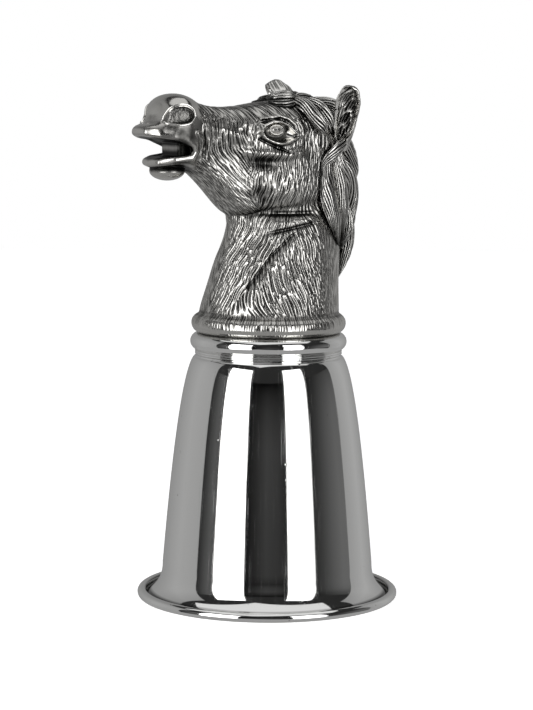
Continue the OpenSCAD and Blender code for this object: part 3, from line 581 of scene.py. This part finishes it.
def openness(field, p, n):
    """From 0 to 1, how far the space in front of each point is free: the field a little way out
    along the normal, over that way. Where it is low, the head is coloured darker as painted shade."""
    out = 1.0
    for way in (0.8, 2.0, 4.0):
        free = field(*(p + way * n).T) / way
        out = out * np.clip(free, 0, 1) ** 0.5
    return out


def vertex_normals(points, quads):
    """Normals at points: the sum of the area vectors of the quads round each."""
    a, b, c, d = (points[quads[:, i]] for i in range(4))
    area = np.cross(c - a, d - b)
    n = np.stack([np.bincount(quads.ravel(), np.repeat(area[:, k], 4), len(points)) for k in range(3)], 1)
    return unit(n)


def new_piece(name, points, quads, nodes, material, normals=None, wear_and_shade=None, uv=None):
    """A mesh object of quads, in metres, which rides with the part and stands for the named nodes."""
    mesh = bpy.data.meshes.new(name)
    mesh.vertices.add(len(points))
    mesh.vertices.foreach_set("co", np.ascontiguousarray(points, np.float32).ravel())
    mesh.loops.add(quads.size)
    mesh.loops.foreach_set("vertex_index", np.ascontiguousarray(quads, np.int32).ravel())
    mesh.polygons.add(len(quads))
    mesh.polygons.foreach_set("loop_start", np.arange(len(quads), dtype=np.int32) * 4)
    mesh.update(calc_edges=True)
    if mesh.validate():
        raise ValueError(f"the mesh of {name} isn't sound")
    mesh.shade_smooth()
    if wear_and_shade is not None:
        mesh.attributes.new("wear_and_shade", "FLOAT", "POINT").data.foreach_set(
            "value", np.ascontiguousarray(wear_and_shade, np.float32))
    if uv is not None:
        layer = mesh.uv_layers.new(name="surface")
        layer.uv.foreach_set("vector", np.ascontiguousarray(uv[quads.ravel()], np.float32).ravel())
    if normals is not None:
        mesh.normals_split_custom_set_from_vertices(normals)
    mesh.materials.append(material)
    piece = bpy.data.objects.new(name, mesh)
    bpy.context.scene.collection.objects.link(piece)
    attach(piece, BODY)
    if nodes:
        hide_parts(*nodes)
    return piece


def grid_quads(rows, columns, wrap_rows=False, wrap_columns=True):
    """Quads of a grid of points, row after row, joined up where a direction wraps round."""
    i = np.arange(rows if wrap_rows else rows - 1)[:, None]
    j = np.arange(columns if wrap_columns else columns - 1)[None, :]
    k, m = (i + 1) % rows, (j + 1) % columns
    corners = (i * columns + j, i * columns + m, k * columns + m, k * columns + j)
    return np.stack(np.broadcast_arrays(*corners), -1).reshape(-1, 4)


def arc(middle, radius, start, end, count):
    """Points of a round arc, with angles in degrees."""
    a = np.radians(np.linspace(start, end, count))
    return np.asarray(middle) + radius * np.stack([np.cos(a), np.sin(a)], 1)


def lathe(profile, segments):
    """A closed profile of (radius, height) turned round Z: points, quads and (turn, height) as UV."""
    turn = 2 * np.pi * np.arange(segments) / segments
    r, z = profile[:, 0][:, None], profile[:, 1][:, None]
    p = np.stack([r * np.cos(turn), r * np.sin(turn), np.broadcast_to(z, (len(profile), segments))], -1)
    uv = np.stack(np.broadcast_arrays(np.abs(turn / np.pi - 1), z), -1)
    return p.reshape(-1, 3), grid_quads(len(profile), segments, True, True), uv.reshape(-1, 2)


def bowl_profile(sizes):
    """The bowl's section in millimetres: the middle line of the sheet from the crown's hole down the
    wall r = a + b s^1.04, through the flare and once round the wire, half a sheet to each side."""
    hub = (sizes.lip_width * 500 - ROLL, math.sqrt(ROLL ** 2 - REST_HALF ** 2))
    level = sizes.crown_height * 1000 - SHEET / 2
    s = np.linspace(0, 1, 70)
    radius = (CROWN_WIDTH + (WAIST_WIDTH - CROWN_WIDTH) * s ** 1.04 - SHEET) / 2
    wall = np.stack([radius, level - (level - FLARE_HEIGHT) * s * s], 1)
    curl = arc(hub, ROLL - SHEET / 2, CURL_FROM, CURL_TO, 44)
    tangent = np.array([math.sin(math.radians(CURL_FROM)), -math.cos(math.radians(CURL_FROM))])
    ease = (FLARE_HEIGHT - curl[0, 1]) / 2
    knots = [wall[-1], wall[-1] - [0, ease], curl[0] + ease * tangent, curl[0]]
    t = np.linspace(0, 1, 24)[1:, None]
    bend = (knots[0] * (1 - t) ** 3 + knots[1] * 3 * t * (1 - t) ** 2 + knots[2] * 3 * t * t * (1 - t)
            + knots[3] * t ** 3)
    edge, under = wall[0, 0] - CROWN_ROUND, level - CROWN_ROUND
    crown = np.stack([np.linspace(SCREW_HOLE, edge, 8), np.full(8, level)], 1)
    round_off = arc((edge, under), CROWN_ROUND, 85, 30, 6)
    line = np.concatenate([crown, round_off, wall[wall[:, 1] < under], bend, curl[1:]])
    way = unit(np.gradient(line, axis=0))
    off = np.stack([way[:, 1], -way[:, 0]], 1) * SHEET / 2
    section = np.concatenate([line - off, (line + off)[::-1]])
    section[:, 1] = np.maximum(section[:, 1], 0)
    return section


def collar_profile(sizes):
    """The collar's section in millimetres: two fine fillets and a round bead, round a bore."""
    base, tall = sizes.crown_height * 1000, sizes.collar_height * 1000
    parts = [
        np.array([[COLLAR_BORE, tall], [COLLAR_BORE, 0.0], [FILLET_RING - FILLET, 0.0]]),
        arc((FILLET_RING, FILLET), FILLET, -80, 75, 8),
        arc((FILLET_RING, 3 * FILLET), FILLET, -75, 75, 8),
        arc((BEAD_RING, tall - BEAD), BEAD, -80, 90, 40)]
    return np.concatenate(parts)[::-1] + [0, base]


def curve(points, count):
    """Even steps on a smooth curve through points, and its unit tangents."""
    p = np.asarray(points, float)
    knots = np.concatenate([[0], np.cumsum(np.linalg.norm(np.diff(p, axis=0), axis=1))])
    table = np.column_stack([knots, p])
    line = np.stack(along(table, np.linspace(0, knots[-1], count)), 1)
    return line, unit(np.gradient(line, axis=0)), knots[-1]


def lock(points, half, flat, seed, taper, steps=64, sides=84):
    """A lock of hair: an oval sweep along a curve, thick in the middle and pointed at the end, with
    strands as ridges round it that wander along it. Returns points, quads and ridge heights."""
    line, tangent, length = curve(points, steps)
    level = np.clip(line[:, 2], 0, HAIR_AXIS_TOP)
    outward = line - np.stack([np.full(steps, HAIR_AXIS_X), np.zeros(steps), level], 1)
    outward = unit(outward - tangent * (outward * tangent).sum(1, keepdims=True))
    across = np.cross(tangent, outward)
    t = np.linspace(0, 1, steps)[:, None]
    radius = half * np.clip(t / 0.1, 0, 1) ** 0.5 * (0.78 + 0.75 * t * (1 - t) - 0.1 * t)
    radius = radius * np.clip((1 - t) / taper, 0, 1) ** 0.6
    a = 2 * np.pi * np.arange(sides)[None, :] / sides
    s = t * length
    twist = 0.5 * np.sin(0.22 * s + seed) + 0.03 * s
    count = max(8, round(2 * np.pi * half * 0.8 / STRAND))
    w = count * ((a + twist + 0.10 * np.sin(0.5 * s + 3 * a + seed)) / (2 * np.pi))
    column = np.mod(np.floor(w), count)
    size = 0.6 + 0.4 * hashed(column + 13 * np.floor(s / 7 + 5 * hashed(column, seed)), seed)
    ridge = size * np.abs(np.sin(np.pi * w)) ** 1.4
    grown = radius + 0.46 * (ridge - 0.6) * np.minimum(radius / 1.4, 1)
    p = (line[:, None, :] + (grown * np.cos(a))[..., None] * across[:, None, :]
         + (grown * flat * np.sin(a))[..., None] * outward[:, None, :])
    return p.reshape(-1, 3), grid_quads(steps, sides)[:, ::-1], ridge.ravel()


def locks(lists, middle, taper):
    """All locks of a group: those of the near side, the same a little shifted on the far side, and
    those between."""
    points, quads, ridges, base = [], [], [], 0
    every = [(p, h, f, 1) for p, h, f in lists] + [(p, h, f, -1) for p, h, f in lists]
    every += [(p, h, f, 1) for p, h, f in middle]
    for n, (way, half, flat, side) in enumerate(every):
        path = np.array(way, float)
        if side < 0:
            path = path * [1, -1, 1] + [0.3, 0, 0.4] * np.sin(np.arange(len(path)) + n)[:, None]
        p, q, r = lock(path, half, flat, 1.7 * n + 0.3, taper)
        points.append(p)
        quads.append(q + base)
        ridges.append(r)
        base += len(p)
    return np.concatenate(points), np.concatenate(quads), np.concatenate(ridges)


def to_world(points, sizes):
    """Millimetres above the collar's top to metres in the row's frame."""
    return (points + [0, 0, (sizes.crown_height + sizes.collar_height) * 1000]) / 1000


def shader(name, metallic, roughness, colour=None):
    """A new material with one shader, and its node tree."""
    material = bpy.data.materials.new(name)
    material.use_nodes = True
    bsdf = material.node_tree.nodes["Principled BSDF"]
    bsdf.inputs["Metallic"].default_value = metallic
    bsdf.inputs["Roughness"].default_value = roughness
    if colour is not None:
        bsdf.inputs["Base Color"].default_value = colour
    return material, material.node_tree, bsdf


def ranged(tree, value, low, high, to_low, to_high):
    """A node that maps one range of values smoothly to another."""
    node = tree.nodes.new("ShaderNodeMapRange")
    node.interpolation_type = "SMOOTHSTEP"
    for key, number in (("From Min", low), ("From Max", high), ("To Min", to_low), ("To Max", to_high)):
        node.inputs[key].default_value = number
    tree.links.new(value, node.inputs["Value"])
    return node.outputs["Result"]


def attribute(tree, name):
    """A node that reads an attribute of the mesh."""
    node = tree.nodes.new("ShaderNodeAttribute")
    node.attribute_name = name
    return node.outputs["Fac"]


def noise(tree, vector, scale, detail):
    """A node of noise at a vector."""
    node = tree.nodes.new("ShaderNodeTexNoise")
    node.inputs["Scale"].default_value = scale
    node.inputs["Detail"].default_value = detail
    tree.links.new(vector, node.inputs["Vector"])
    return node.outputs["Fac"]


def grain(tree, scale, detail):
    """Noise on the object's own coordinates."""
    coords = tree.nodes.new("ShaderNodeTexCoord")
    return noise(tree, coords.outputs["Object"], scale, detail)


def tint(tree, bsdf, share, dark, bright):
    """Colour a shader between dark and bright by a share."""
    mix = tree.nodes.new("ShaderNodeMix")
    mix.data_type = "RGBA"
    mix.inputs["A"].default_value = dark
    mix.inputs["B"].default_value = bright
    tree.links.new(share, mix.inputs["Factor"])
    tree.links.new(mix.outputs["Result"], bsdf.inputs["Base Color"])


def cast_metal(name, bright, dark, low, high):
    """Cast metal: dark where wear_and_shade is low, as tarnish and painted shade, brighter and smoother where
    high.
    """
    material, tree, bsdf = shader(name, 1.0, 0.3)
    wear_and_shade = attribute(tree, "wear_and_shade")
    add = tree.nodes.new("ShaderNodeMath")
    add.operation = "MULTIPLY_ADD"
    add.inputs[1].default_value = 0.18
    tree.links.new(grain(tree, 900, 3), add.inputs[0])
    tree.links.new(wear_and_shade, add.inputs[2])
    tint(tree, bsdf, ranged(tree, add.outputs["Value"], low, high, 0, 1), dark, bright)
    tree.links.new(ranged(tree, wear_and_shade, 0.3, 1.0, 0.42, 0.17), bsdf.inputs["Roughness"])
    return material


def spun_metal(name, colour, dark):
    """Polished spun metal: fine upright streaks in its roughness, a few small dark pits, and painted shade
    where the wear_and_shade attribute is low."""
    material, tree, bsdf = shader(name, 1.0, 0.08, colour)
    uv = tree.nodes.new("ShaderNodeUVMap")
    uv.uv_map = "surface"
    stretch = tree.nodes.new("ShaderNodeMapping")
    stretch.inputs["Scale"].default_value = (380, 0.05, 1)
    tree.links.new(uv.outputs["UV"], stretch.inputs["Vector"])
    streaks = noise(tree, stretch.outputs["Vector"], 1, 4)
    tree.links.new(ranged(tree, streaks, 0.5, 0.8, 0.05, 0.24), bsdf.inputs["Roughness"])
    pits = grain(tree, 420, 2)
    bump = tree.nodes.new("ShaderNodeBump")
    bump.inputs["Strength"].default_value = 0.12
    bump.inputs["Distance"].default_value = 0.0002
    tree.links.new(ranged(tree, pits, 0.72, 0.8, 0, -1), bump.inputs["Height"])
    tree.links.new(bump.outputs["Normal"], bsdf.inputs["Normal"])
    clean = tree.nodes.new("ShaderNodeMath")
    clean.operation = "MULTIPLY"
    tree.links.new(attribute(tree, "wear_and_shade"), clean.inputs[0])
    tree.links.new(ranged(tree, pits, 0.74, 0.78, 1, 0.1), clean.inputs[1])
    tint(tree, bsdf, clean.outputs["Value"], dark, colour)
    return material


def head_pair(name, points, quads, material, wear_and_shade, sizes):
    """A small piece of the head's metal on the left side, and its mirror image on the right."""
    for side, half in ((1, "left"), (-1, "right")):
        new_piece(f"{name}_{half}", to_world(points * [1, side, 1], sizes), quads[:, ::side],
                  [], material, wear_and_shade=wear_and_shade)


def turned(axis, degrees):
    """The matrix of a turn about X, Y or Z, which are 0, 1 and 2."""
    c, s = math.cos(math.radians(degrees)), math.sin(math.radians(degrees))
    i, j = (axis + 1) % 3, (axis + 2) % 3
    matrix = np.eye(3)
    matrix[[i, i, j, j], [i, j, i, j]] = c, -s, s, c
    return matrix


class CUP_OT_bowl(Operator):
    """Build the spun bowl with its rolled lip"""

    bl_idname = "cup.bowl"
    bl_label = "Bowl"

    def execute(self, context):
        """Turn the bowl's section round the axis."""
        scene, colours = context.scene, context.scene.cup_colours
        points, quads, uv = lathe(bowl_profile(scene.cup_sizes), 288)
        # Painted shade: the colour darkens in the crack where the rolled lip meets the wall.
        lip = scene.cup_sizes.lip_width * 500
        crack = np.hypot(np.hypot(points[:, 0], points[:, 1]) - (lip - 2.9), points[:, 2] - 1.7)
        material = spun_metal("bowl_metal", colours.bowl, colours.dark)
        new_piece("bowl_surface", points / 1000, quads, ["cup_bowl"], material, uv=uv,
                  wear_and_shade=smoothstep(0.5, 1.5, crack))
        return {"FINISHED"}


class CUP_OT_collar(Operator):
    """Build the turned collar with its bead"""

    bl_idname = "cup.collar"
    bl_label = "Collar"

    def execute(self, context):
        """Turn the collar's section round the axis."""
        scene, colours = context.scene, context.scene.cup_colours
        points, quads, uv = lathe(collar_profile(scene.cup_sizes), 256)
        material = spun_metal("collar_metal", colours.bowl, colours.dark)
        new_piece("collar_surface", points / 1000, quads, ["collar_ring"], material, uv=uv,
                  wear_and_shade=np.ones(len(points)))
        return {"FINISHED"}


class CUP_OT_head(Operator):
    """Build the two halves of the cast head and neck with their cut hair"""

    bl_idname = "cup.head"
    bl_label = "Head"

    def execute(self, context):
        """Find the left half as the zero surface of the head's field, cut the hair, and mirror it."""
        scene, colours = context.scene, context.scene.cup_colours
        sizes = scene.cup_sizes
        step = sizes.head_step * 1000
        low = np.array(HEAD_LOW) - [0, step / 2, 0]
        counts = np.ceil((HEAD_HIGH - low) / step).astype(int) + 1
        points, quads = surface_net(head_field, low, tuple(counts), step)
        points, quads = subdivide(points, quads)
        seam = np.abs(points[:, 1]) < 1e-4
        points, normals = settle(head_field, points)
        points[seam, 1] = 0
        height, hairy = head_hair(points, sizes.hair_pitch * 1000, sizes.hair_length * 1000)
        # Painted shade darkens creases and hollows where little space is free; patina darkens the hair's
        # grooves.
        free = openness(head_field, points, normals)
        wear_and_shade = (0.35 + 0.65 * free) * free * (1 - hairy * (1 - height))
        # Painted shade: the dents on the side of the head are coloured darker.
        wear_and_shade = wear_and_shade * np.where(np.abs(points[:, 1]) > 5, dent_shade(points[:, 0], points[:, 2]), 1)
        # The lids are coloured lighter, and the nostrils are darker inside.
        lids = np.exp(-((points[:, 0] - 4) / 6) ** 2 - ((points[:, 2] - EYE[2]) / 4) ** 2)
        wear_and_shade = wear_and_shade + 0.3 * lids * (1 - wear_and_shade)
        oval, away = nostril_oval(*points.T)
        wear_and_shade = wear_and_shade * (1 - 0.4 * (np.abs(away) < 4) * (1 - smoothstep(0.8, 1.0, oval)))
        normals[seam, 1] = 0
        points = points + normals * (sizes.hair_depth * 1000 * hairy * (height - 0.85))[:, None]
        points[:, 2] = np.maximum(points[:, 2], 0)
        shading = vertex_normals(points, quads)
        shading[seam, 1] = 0
        shading = unit(shading)
        material = cast_metal("head_metal", colours.bright, colours.dark, 0.32, 1.0)
        above = points[quads, 2].mean(1) > THROAT
        for part, chosen in (("head", above), ("neck", ~above)):
            used, own = np.unique(quads[chosen], return_inverse=True)
            own = own.reshape(-1, 4)
            for side, half in ((1, "left"), (-1, "right")):
                flip = np.array([1, side, 1])
                new_piece(f"{part}_{half}_surface", to_world(points[used] * flip, sizes), own[:, ::side],
                          ["head_" + half], material, shading[used] * flip, wear_and_shade[used])
        return {"FINISHED"}


class CUP_OT_nostrils(Operator):
    """Build the thin rolled rims of the two nostrils"""

    bl_idname = "cup.nostrils"
    bl_label = "Nostrils"

    def execute(self, context):
        """Sweep a thin tube round each nostril's oval, laid on the head's surface."""
        scene, colours = context.scene, context.scene.cup_colours
        steps, sides = 180, 16
        e, f, _ = nostril_plane()
        a = 2 * np.pi * np.arange(steps) / steps
        far = NOSTRIL_LENGTH * np.cos(a)
        high = NOSTRIL_HEIGHT * (1 - NOSTRIL_TAPER * far) * np.sin(a)
        line, out = settle(head_field, NOSTRIL + far[:, None] * e + high[:, None] * f, 8)
        way = unit(np.roll(line, -1, 0) - np.roll(line, 1, 0))
        across = unit(np.cross(way, out))
        up = np.cross(across, way)
        b = (2 * np.pi * np.arange(sides) / sides)[:, None]
        p = line[:, None] + NOSTRIL_RIM * (np.cos(b) * across[:, None] + np.sin(b) * up[:, None])
        material = cast_metal("rim_metal", colours.hair, colours.dark, 0.0, 0.9)
        head_pair("nostril", p.reshape(-1, 3), grid_quads(steps, sides, True, True), material,
                  np.ones(steps * sides), scene.cup_sizes)
        return {"FINISHED"}


class CUP_OT_eyes(Operator):
    """Build the two eyeballs, each with the ring of its iris and a pupil"""

    bl_idname = "cup.eyes"
    bl_label = "Eyes"

    def execute(self, context):
        """Lay a round grid over an oval dome and raise the iris's ring on it."""
        scene, colours = context.scene, context.scene.cup_colours
        rings, sides = 48, 96
        t = np.linspace(0.004, 1, rings)[:, None]
        a = 2 * np.pi * np.arange(sides)[None, :] / sides
        out = unit(EYE_OUT)
        right = unit(np.cross([0, 0, 1.0], out))
        up = np.cross(out, right)
        ring = sum(high * np.exp(-((t - at) / wide) ** 2) for at, wide, high in IRIS)
        bulge = EYE_BULGE * np.cos(t * np.pi / 2) + IRIS_HEIGHT * ring
        p = (EYE + (EYE_LENGTH * t * np.cos(a))[..., None] * right
             + (EYE_HEIGHT * t * np.sin(a))[..., None] * up
             + np.broadcast_to(bulge, (rings, sides))[..., None] * out)
        # Painted shade darkens the eyeball towards its edge under the lids; the iris's ring is lighter, its
        # grooves darker.
        shade = np.clip(0.72 + 0.45 * ring, 0, 1) * (1 - 0.85 * smoothstep(0.6, 0.76, t))
        wear_and_shade = np.broadcast_to(shade, (rings, sides)).ravel()
        material = cast_metal("eye_metal", colours.bright, colours.dark, 0.1, 0.9)
        head_pair("eye", p.reshape(-1, 3), grid_quads(rings, sides), material, wear_and_shade, scene.cup_sizes)
        return {"FINISHED"}


class CUP_OT_ears(Operator):
    """Build the two hollow ears"""

    bl_idname = "cup.ears"
    bl_label = "Ears"

    def execute(self, context):
        """Skin open rings up each ear, turned and leaned out from the poll."""
        scene, colours = context.scene, context.scene.cup_colours
        sizes = scene.cup_sizes
        rows, sides = 90, 160
        t = np.linspace(EAR[0, 0], 1.0, rows)
        share, angle = along(EAR, t)
        close = np.clip((1 - t) / 0.06, 0, 1) ** 0.5
        half = sides // 2
        s = np.linspace(-1, 1, half)
        bend = -np.pi / 2 + np.radians(angle)[:, None] * s[None, :]
        lips = np.sqrt(np.clip(1 - np.abs(s) ** 10, 0, 1))[None, :]
        quads = grid_quads(rows, sides)
        material = cast_metal("ear_metal", colours.hair, colours.dark, 0.3, 1.0)
        for name, (side, long, wide, lean, tilt) in EARS.items():
            radius = (sizes.ear_width * 500 * wide * share * (0.68 + 0.32 * close))[:, None]
            hole = np.maximum(radius - EAR_WALL * (0.12 + 0.88 * lips), 0.1)
            height = np.broadcast_to((sizes.ear_length * 1000 * long * t)[:, None], (rows, half))
            hair = strokes(radius * bend, height, pitch=0.8, length=6.0, seed=41, width=0.4)
            inner = radius * bend * 0.8 + 0.5 * height
            inner = strokes(inner, height, pitch=0.95, length=4.5, seed=43, width=0.55)
            grown = radius + 0.28 * (hair - 0.6)
            sunk = np.maximum(hole - 0.7 * (inner - 0.4) * lips, 0.05)
            ring = np.concatenate([
                np.stack([grown * np.cos(bend), grown * np.sin(bend), height], -1),
                np.stack([sunk * np.cos(bend), sunk * np.sin(bend), height], -1)[:, ::-1]], 1)
            ring[-1] = ring[-1].mean(0) + 0.15 * (ring[-1] - ring[-1].mean(0))
            rim = smoothstep(0.8, 0.94, np.abs(s)) * np.ones_like(hair)
            inside = np.maximum(0.95 * rim, 0.05 + 0.8 * inner)
            wear_and_shade = np.concatenate([0.25 + 0.75 * hair, inside[:, ::-1]], 1)
            matrix = turned(1, tilt) @ turned(0, -lean) @ turned(2, EAR_TURN)
            points = (ring.reshape(-1, 3) @ matrix.T + EAR_ROOT) * [1, side, 1]
            new_piece("ear_" + name + "_surface", to_world(points, sizes), quads[:, ::side],
                      ["ear_" + name], material, wear_and_shade=wear_and_shade.ravel())
        return {"FINISHED"}


class CUP_OT_hair(Operator):
    """Build the mane and the forelock from locks of hair"""

    bl_idname = "cup.hair"
    bl_label = "Mane and forelock"

    def execute(self, context):
        """Sweep every lock along its curve and join the locks of each group."""
        scene, colours = context.scene, context.scene.cup_colours
        material = cast_metal("hair_metal", colours.hair, colours.dark, 0.42, 0.9)
        for name, lists, middle, taper in (("mane", MANE_LOCKS, MANE_MIDDLE, MANE_TAPER),
                                           ("forelock", FORELOCK_LOCKS, FORELOCK_MIDDLE, FORELOCK_TAPER)):
            points, quads, ridge = locks(lists, middle, taper)
            # Painted shade darkens locks where they lie close against the head; patina darkens the grooves
            # between strands.
            free = np.clip(0.45 + 0.25 * head_field(*points.T), 0.1, 1)
            new_piece(name + "_surface", to_world(points, scene.cup_sizes), quads, [name],
                      material, wear_and_shade=free * (0.15 + 0.85 * ridge))
        return {"FINISHED"}


class CUP_OT_fittings(Operator):
    """Give the screw, the plate, the washer and the rim's wire their materials"""

    bl_idname = "cup.fittings"
    bl_label = "Fittings"

    def execute(self, context):
        """Set one material on each of the solids that are shown as they are."""
        colours = context.scene.cup_colours
        steel = shader("fitting_steel", 1.0, 0.32, colours.steel)[0]
        rubber = shader("washer_rubber", 0.0, 0.7, colours.washer)[0]
        for node in ("rim_wire", "neck_plate", "fixing_screw", "seal_washer"):
            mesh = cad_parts[node].data
            mesh.materials.clear()
            mesh.materials.append(rubber if node == "seal_washer" else steel)
        return {"FINISHED"}


def seen(tree, others, camera, out):
    """Lead one shader to the output for the camera's rays, and another for all others."""
    path, mix = tree.nodes.new("ShaderNodeLightPath"), tree.nodes.new("ShaderNodeMixShader")
    tree.links.new(path.outputs["Is Camera Ray"], mix.inputs["Fac"])
    tree.links.new(others, mix.inputs[1])
    tree.links.new(camera, mix.inputs[2])
    tree.links.new(mix.outputs["Shader"], out.inputs["Surface"])


def card_material(name):
    """Light by the glow attribute for every ray but the camera's, which sees white."""
    material = bpy.data.materials.new(name)
    material.use_nodes = True
    tree = material.node_tree
    tree.nodes.clear()
    lit, white = tree.nodes.new("ShaderNodeEmission"), tree.nodes.new("ShaderNodeEmission")
    tree.links.new(attribute(tree, "glow"), lit.inputs["Strength"])
    seen(tree, lit.outputs["Emission"], white.outputs["Emission"], tree.nodes.new("ShaderNodeOutputMaterial"))
    return material


class CUP_OT_stage(Operator):
    """Build the floor, the light cards, the white surround and the camera"""

    bl_idname = "cup.stage"
    bl_label = "Stage"

    def put(self, name, points, quads, material, glow=None):
        """A mesh of the stage, with the glow at its points."""
        mesh = bpy.data.meshes.new(name)
        mesh.from_pydata(points, [], quads)
        if glow is not None:
            mesh.attributes.new("glow", "FLOAT", "POINT").data.foreach_set("value", glow)
        mesh.materials.append(material)
        thing = bpy.data.objects.new(name, mesh)
        bpy.context.scene.collection.objects.link(thing)

    def level(self, name, half, height, face, material, glow=None):
        """A level square, whose corners are joined in the order that faces it up or down."""
        corners = [(-half, -half, height), (half, -half, height), (half, half, height), (-half, half, height)]
        self.put(name, corners, [face], material, glow)

    def upright(self, name, start, end, low, high, far, across, up):
        """A bent upright card: part of a cylinder round the cup, between two angles from the camera.
        Its glow runs through the values across, each times the values up from its foot to its head."""
        rows, columns = 17, 33
        u, v = np.linspace(0, 1, columns), np.linspace(0, 1, rows)
        a = np.radians(start + (end - start) * u)[:, None]
        way = np.cos(a) * AHEAD + np.sin(a) * RIGHT
        p = [np.column_stack([way * far, np.full(columns, low + (high - low) * k)]) for k in v]
        glow = (np.interp(v, np.linspace(0, 1, len(up)), up)[:, None]
                * np.interp(u, np.linspace(0, 1, len(across)), across)[None, :])
        self.put(name, np.concatenate(p).tolist(), grid_quads(rows, columns, False, False).tolist(),
                 card_material(name), glow.ravel().astype(np.float32))

    def execute(self, context):
        """Make the studio round the cup."""
        scene = context.scene
        floor, tree, bsdf = shader("floor", 0.0, 0.9, scene.cup_colours.floor)
        bsdf.inputs["Specular IOR Level"].default_value = 0
        glow, both = tree.nodes.new("ShaderNodeEmission"), tree.nodes.new("ShaderNodeAddShader")
        glow.inputs["Strength"].default_value = FLOOR_GLOW
        tree.links.new(bsdf.outputs["BSDF"], both.inputs[0])
        tree.links.new(glow.outputs["Emission"], both.inputs[1])
        clear = tree.nodes.new("ShaderNodeBsdfTransparent")
        seen(tree, clear.outputs["BSDF"], both.outputs["Shader"], tree.nodes["Material Output"])
        self.level("floor", FLOOR_HALF, 0, (0, 1, 2, 3), floor)
        for name, values in UPRIGHT_CARDS.items():
            self.upright(name, *values)
        for name, (half, height, strength) in LEVEL_CARDS.items():
            self.level(name, half, height, (0, 3, 2, 1), card_material(name), [strength] * 4)
        world = bpy.data.worlds.new("surround")
        world.use_nodes = True
        scene.world = world
        tree = world.node_tree
        back = tree.nodes["Background"]
        path = tree.nodes.new("ShaderNodeLightPath")
        light = ranged(tree, path.outputs["Is Camera Ray"], 0, 1, SURROUND, 1.0)
        tree.links.new(light, back.inputs["Strength"])
        back.inputs["Color"].default_value = (1, 1, 1, 1)
        data = bpy.data.cameras.new("camera")
        data.lens, data.sensor_width, data.clip_start = CAMERA_LENS, 36, 0.01
        camera = bpy.data.objects.new("camera", data)
        scene.collection.objects.link(camera)
        turn = math.radians(CAMERA_FORWARD)
        camera.location = (CAMERA_FAR * math.sin(turn), CAMERA_FAR * math.cos(turn), CAMERA_HEIGHT)
        camera.rotation_euler = [math.radians(v) for v in (90 - CAMERA_DOWN, CAMERA_ROLL, CAMERA_TURN)]
        scene.camera = camera
        scene.view_settings.view_transform = "Standard"
        return {"FINISHED"}


class CUP_PT_panel(Panel):
    """Sizes, colours and buttons of the stirrup cup"""

    bl_idname = "CUP_PT_panel"
    bl_label = "Stirrup cup"
    bl_space_type = "VIEW_3D"
    bl_region_type = "UI"
    bl_category = "Stirrup cup"

    def draw(self, context):
        """List the sizes and colours, then one button a step."""
        for group in (context.scene.cup_sizes, context.scene.cup_colours):
            box = self.layout.box()
            for key in group.__annotations__:
                box.prop(group, key)
        for step in STEPS:
            self.layout.operator(step.bl_idname)


STEPS = (CUP_OT_bowl, CUP_OT_collar, CUP_OT_head, CUP_OT_nostrils, CUP_OT_eyes, CUP_OT_ears, CUP_OT_hair,
         CUP_OT_fittings, CUP_OT_stage)
CLASSES = (CupSizes, CupColours, *STEPS, CUP_PT_panel)


def register():
    """Add the classes and the scene's sizes and colours."""
    for cls in CLASSES:
        bpy.utils.register_class(cls)
    bpy.types.Scene.cup_sizes = PointerProperty(type=CupSizes)
    bpy.types.Scene.cup_colours = PointerProperty(type=CupColours)


def unregister():
    """Take them away again."""
    del bpy.types.Scene.cup_sizes
    del bpy.types.Scene.cup_colours
    for cls in reversed(CLASSES):
        bpy.utils.unregister_class(cls)


def main():
    """Build everything."""
    register()
    cup = bpy.ops.cup
    for step in (cup.bowl, cup.collar, cup.head, cup.nostrils, cup.eyes, cup.ears, cup.hair, cup.fittings,
                 cup.stage):
        if step() != {"FINISHED"}:
            raise RuntimeError("a step of the cup didn't finish")


if __name__ == "__main__":
    main()
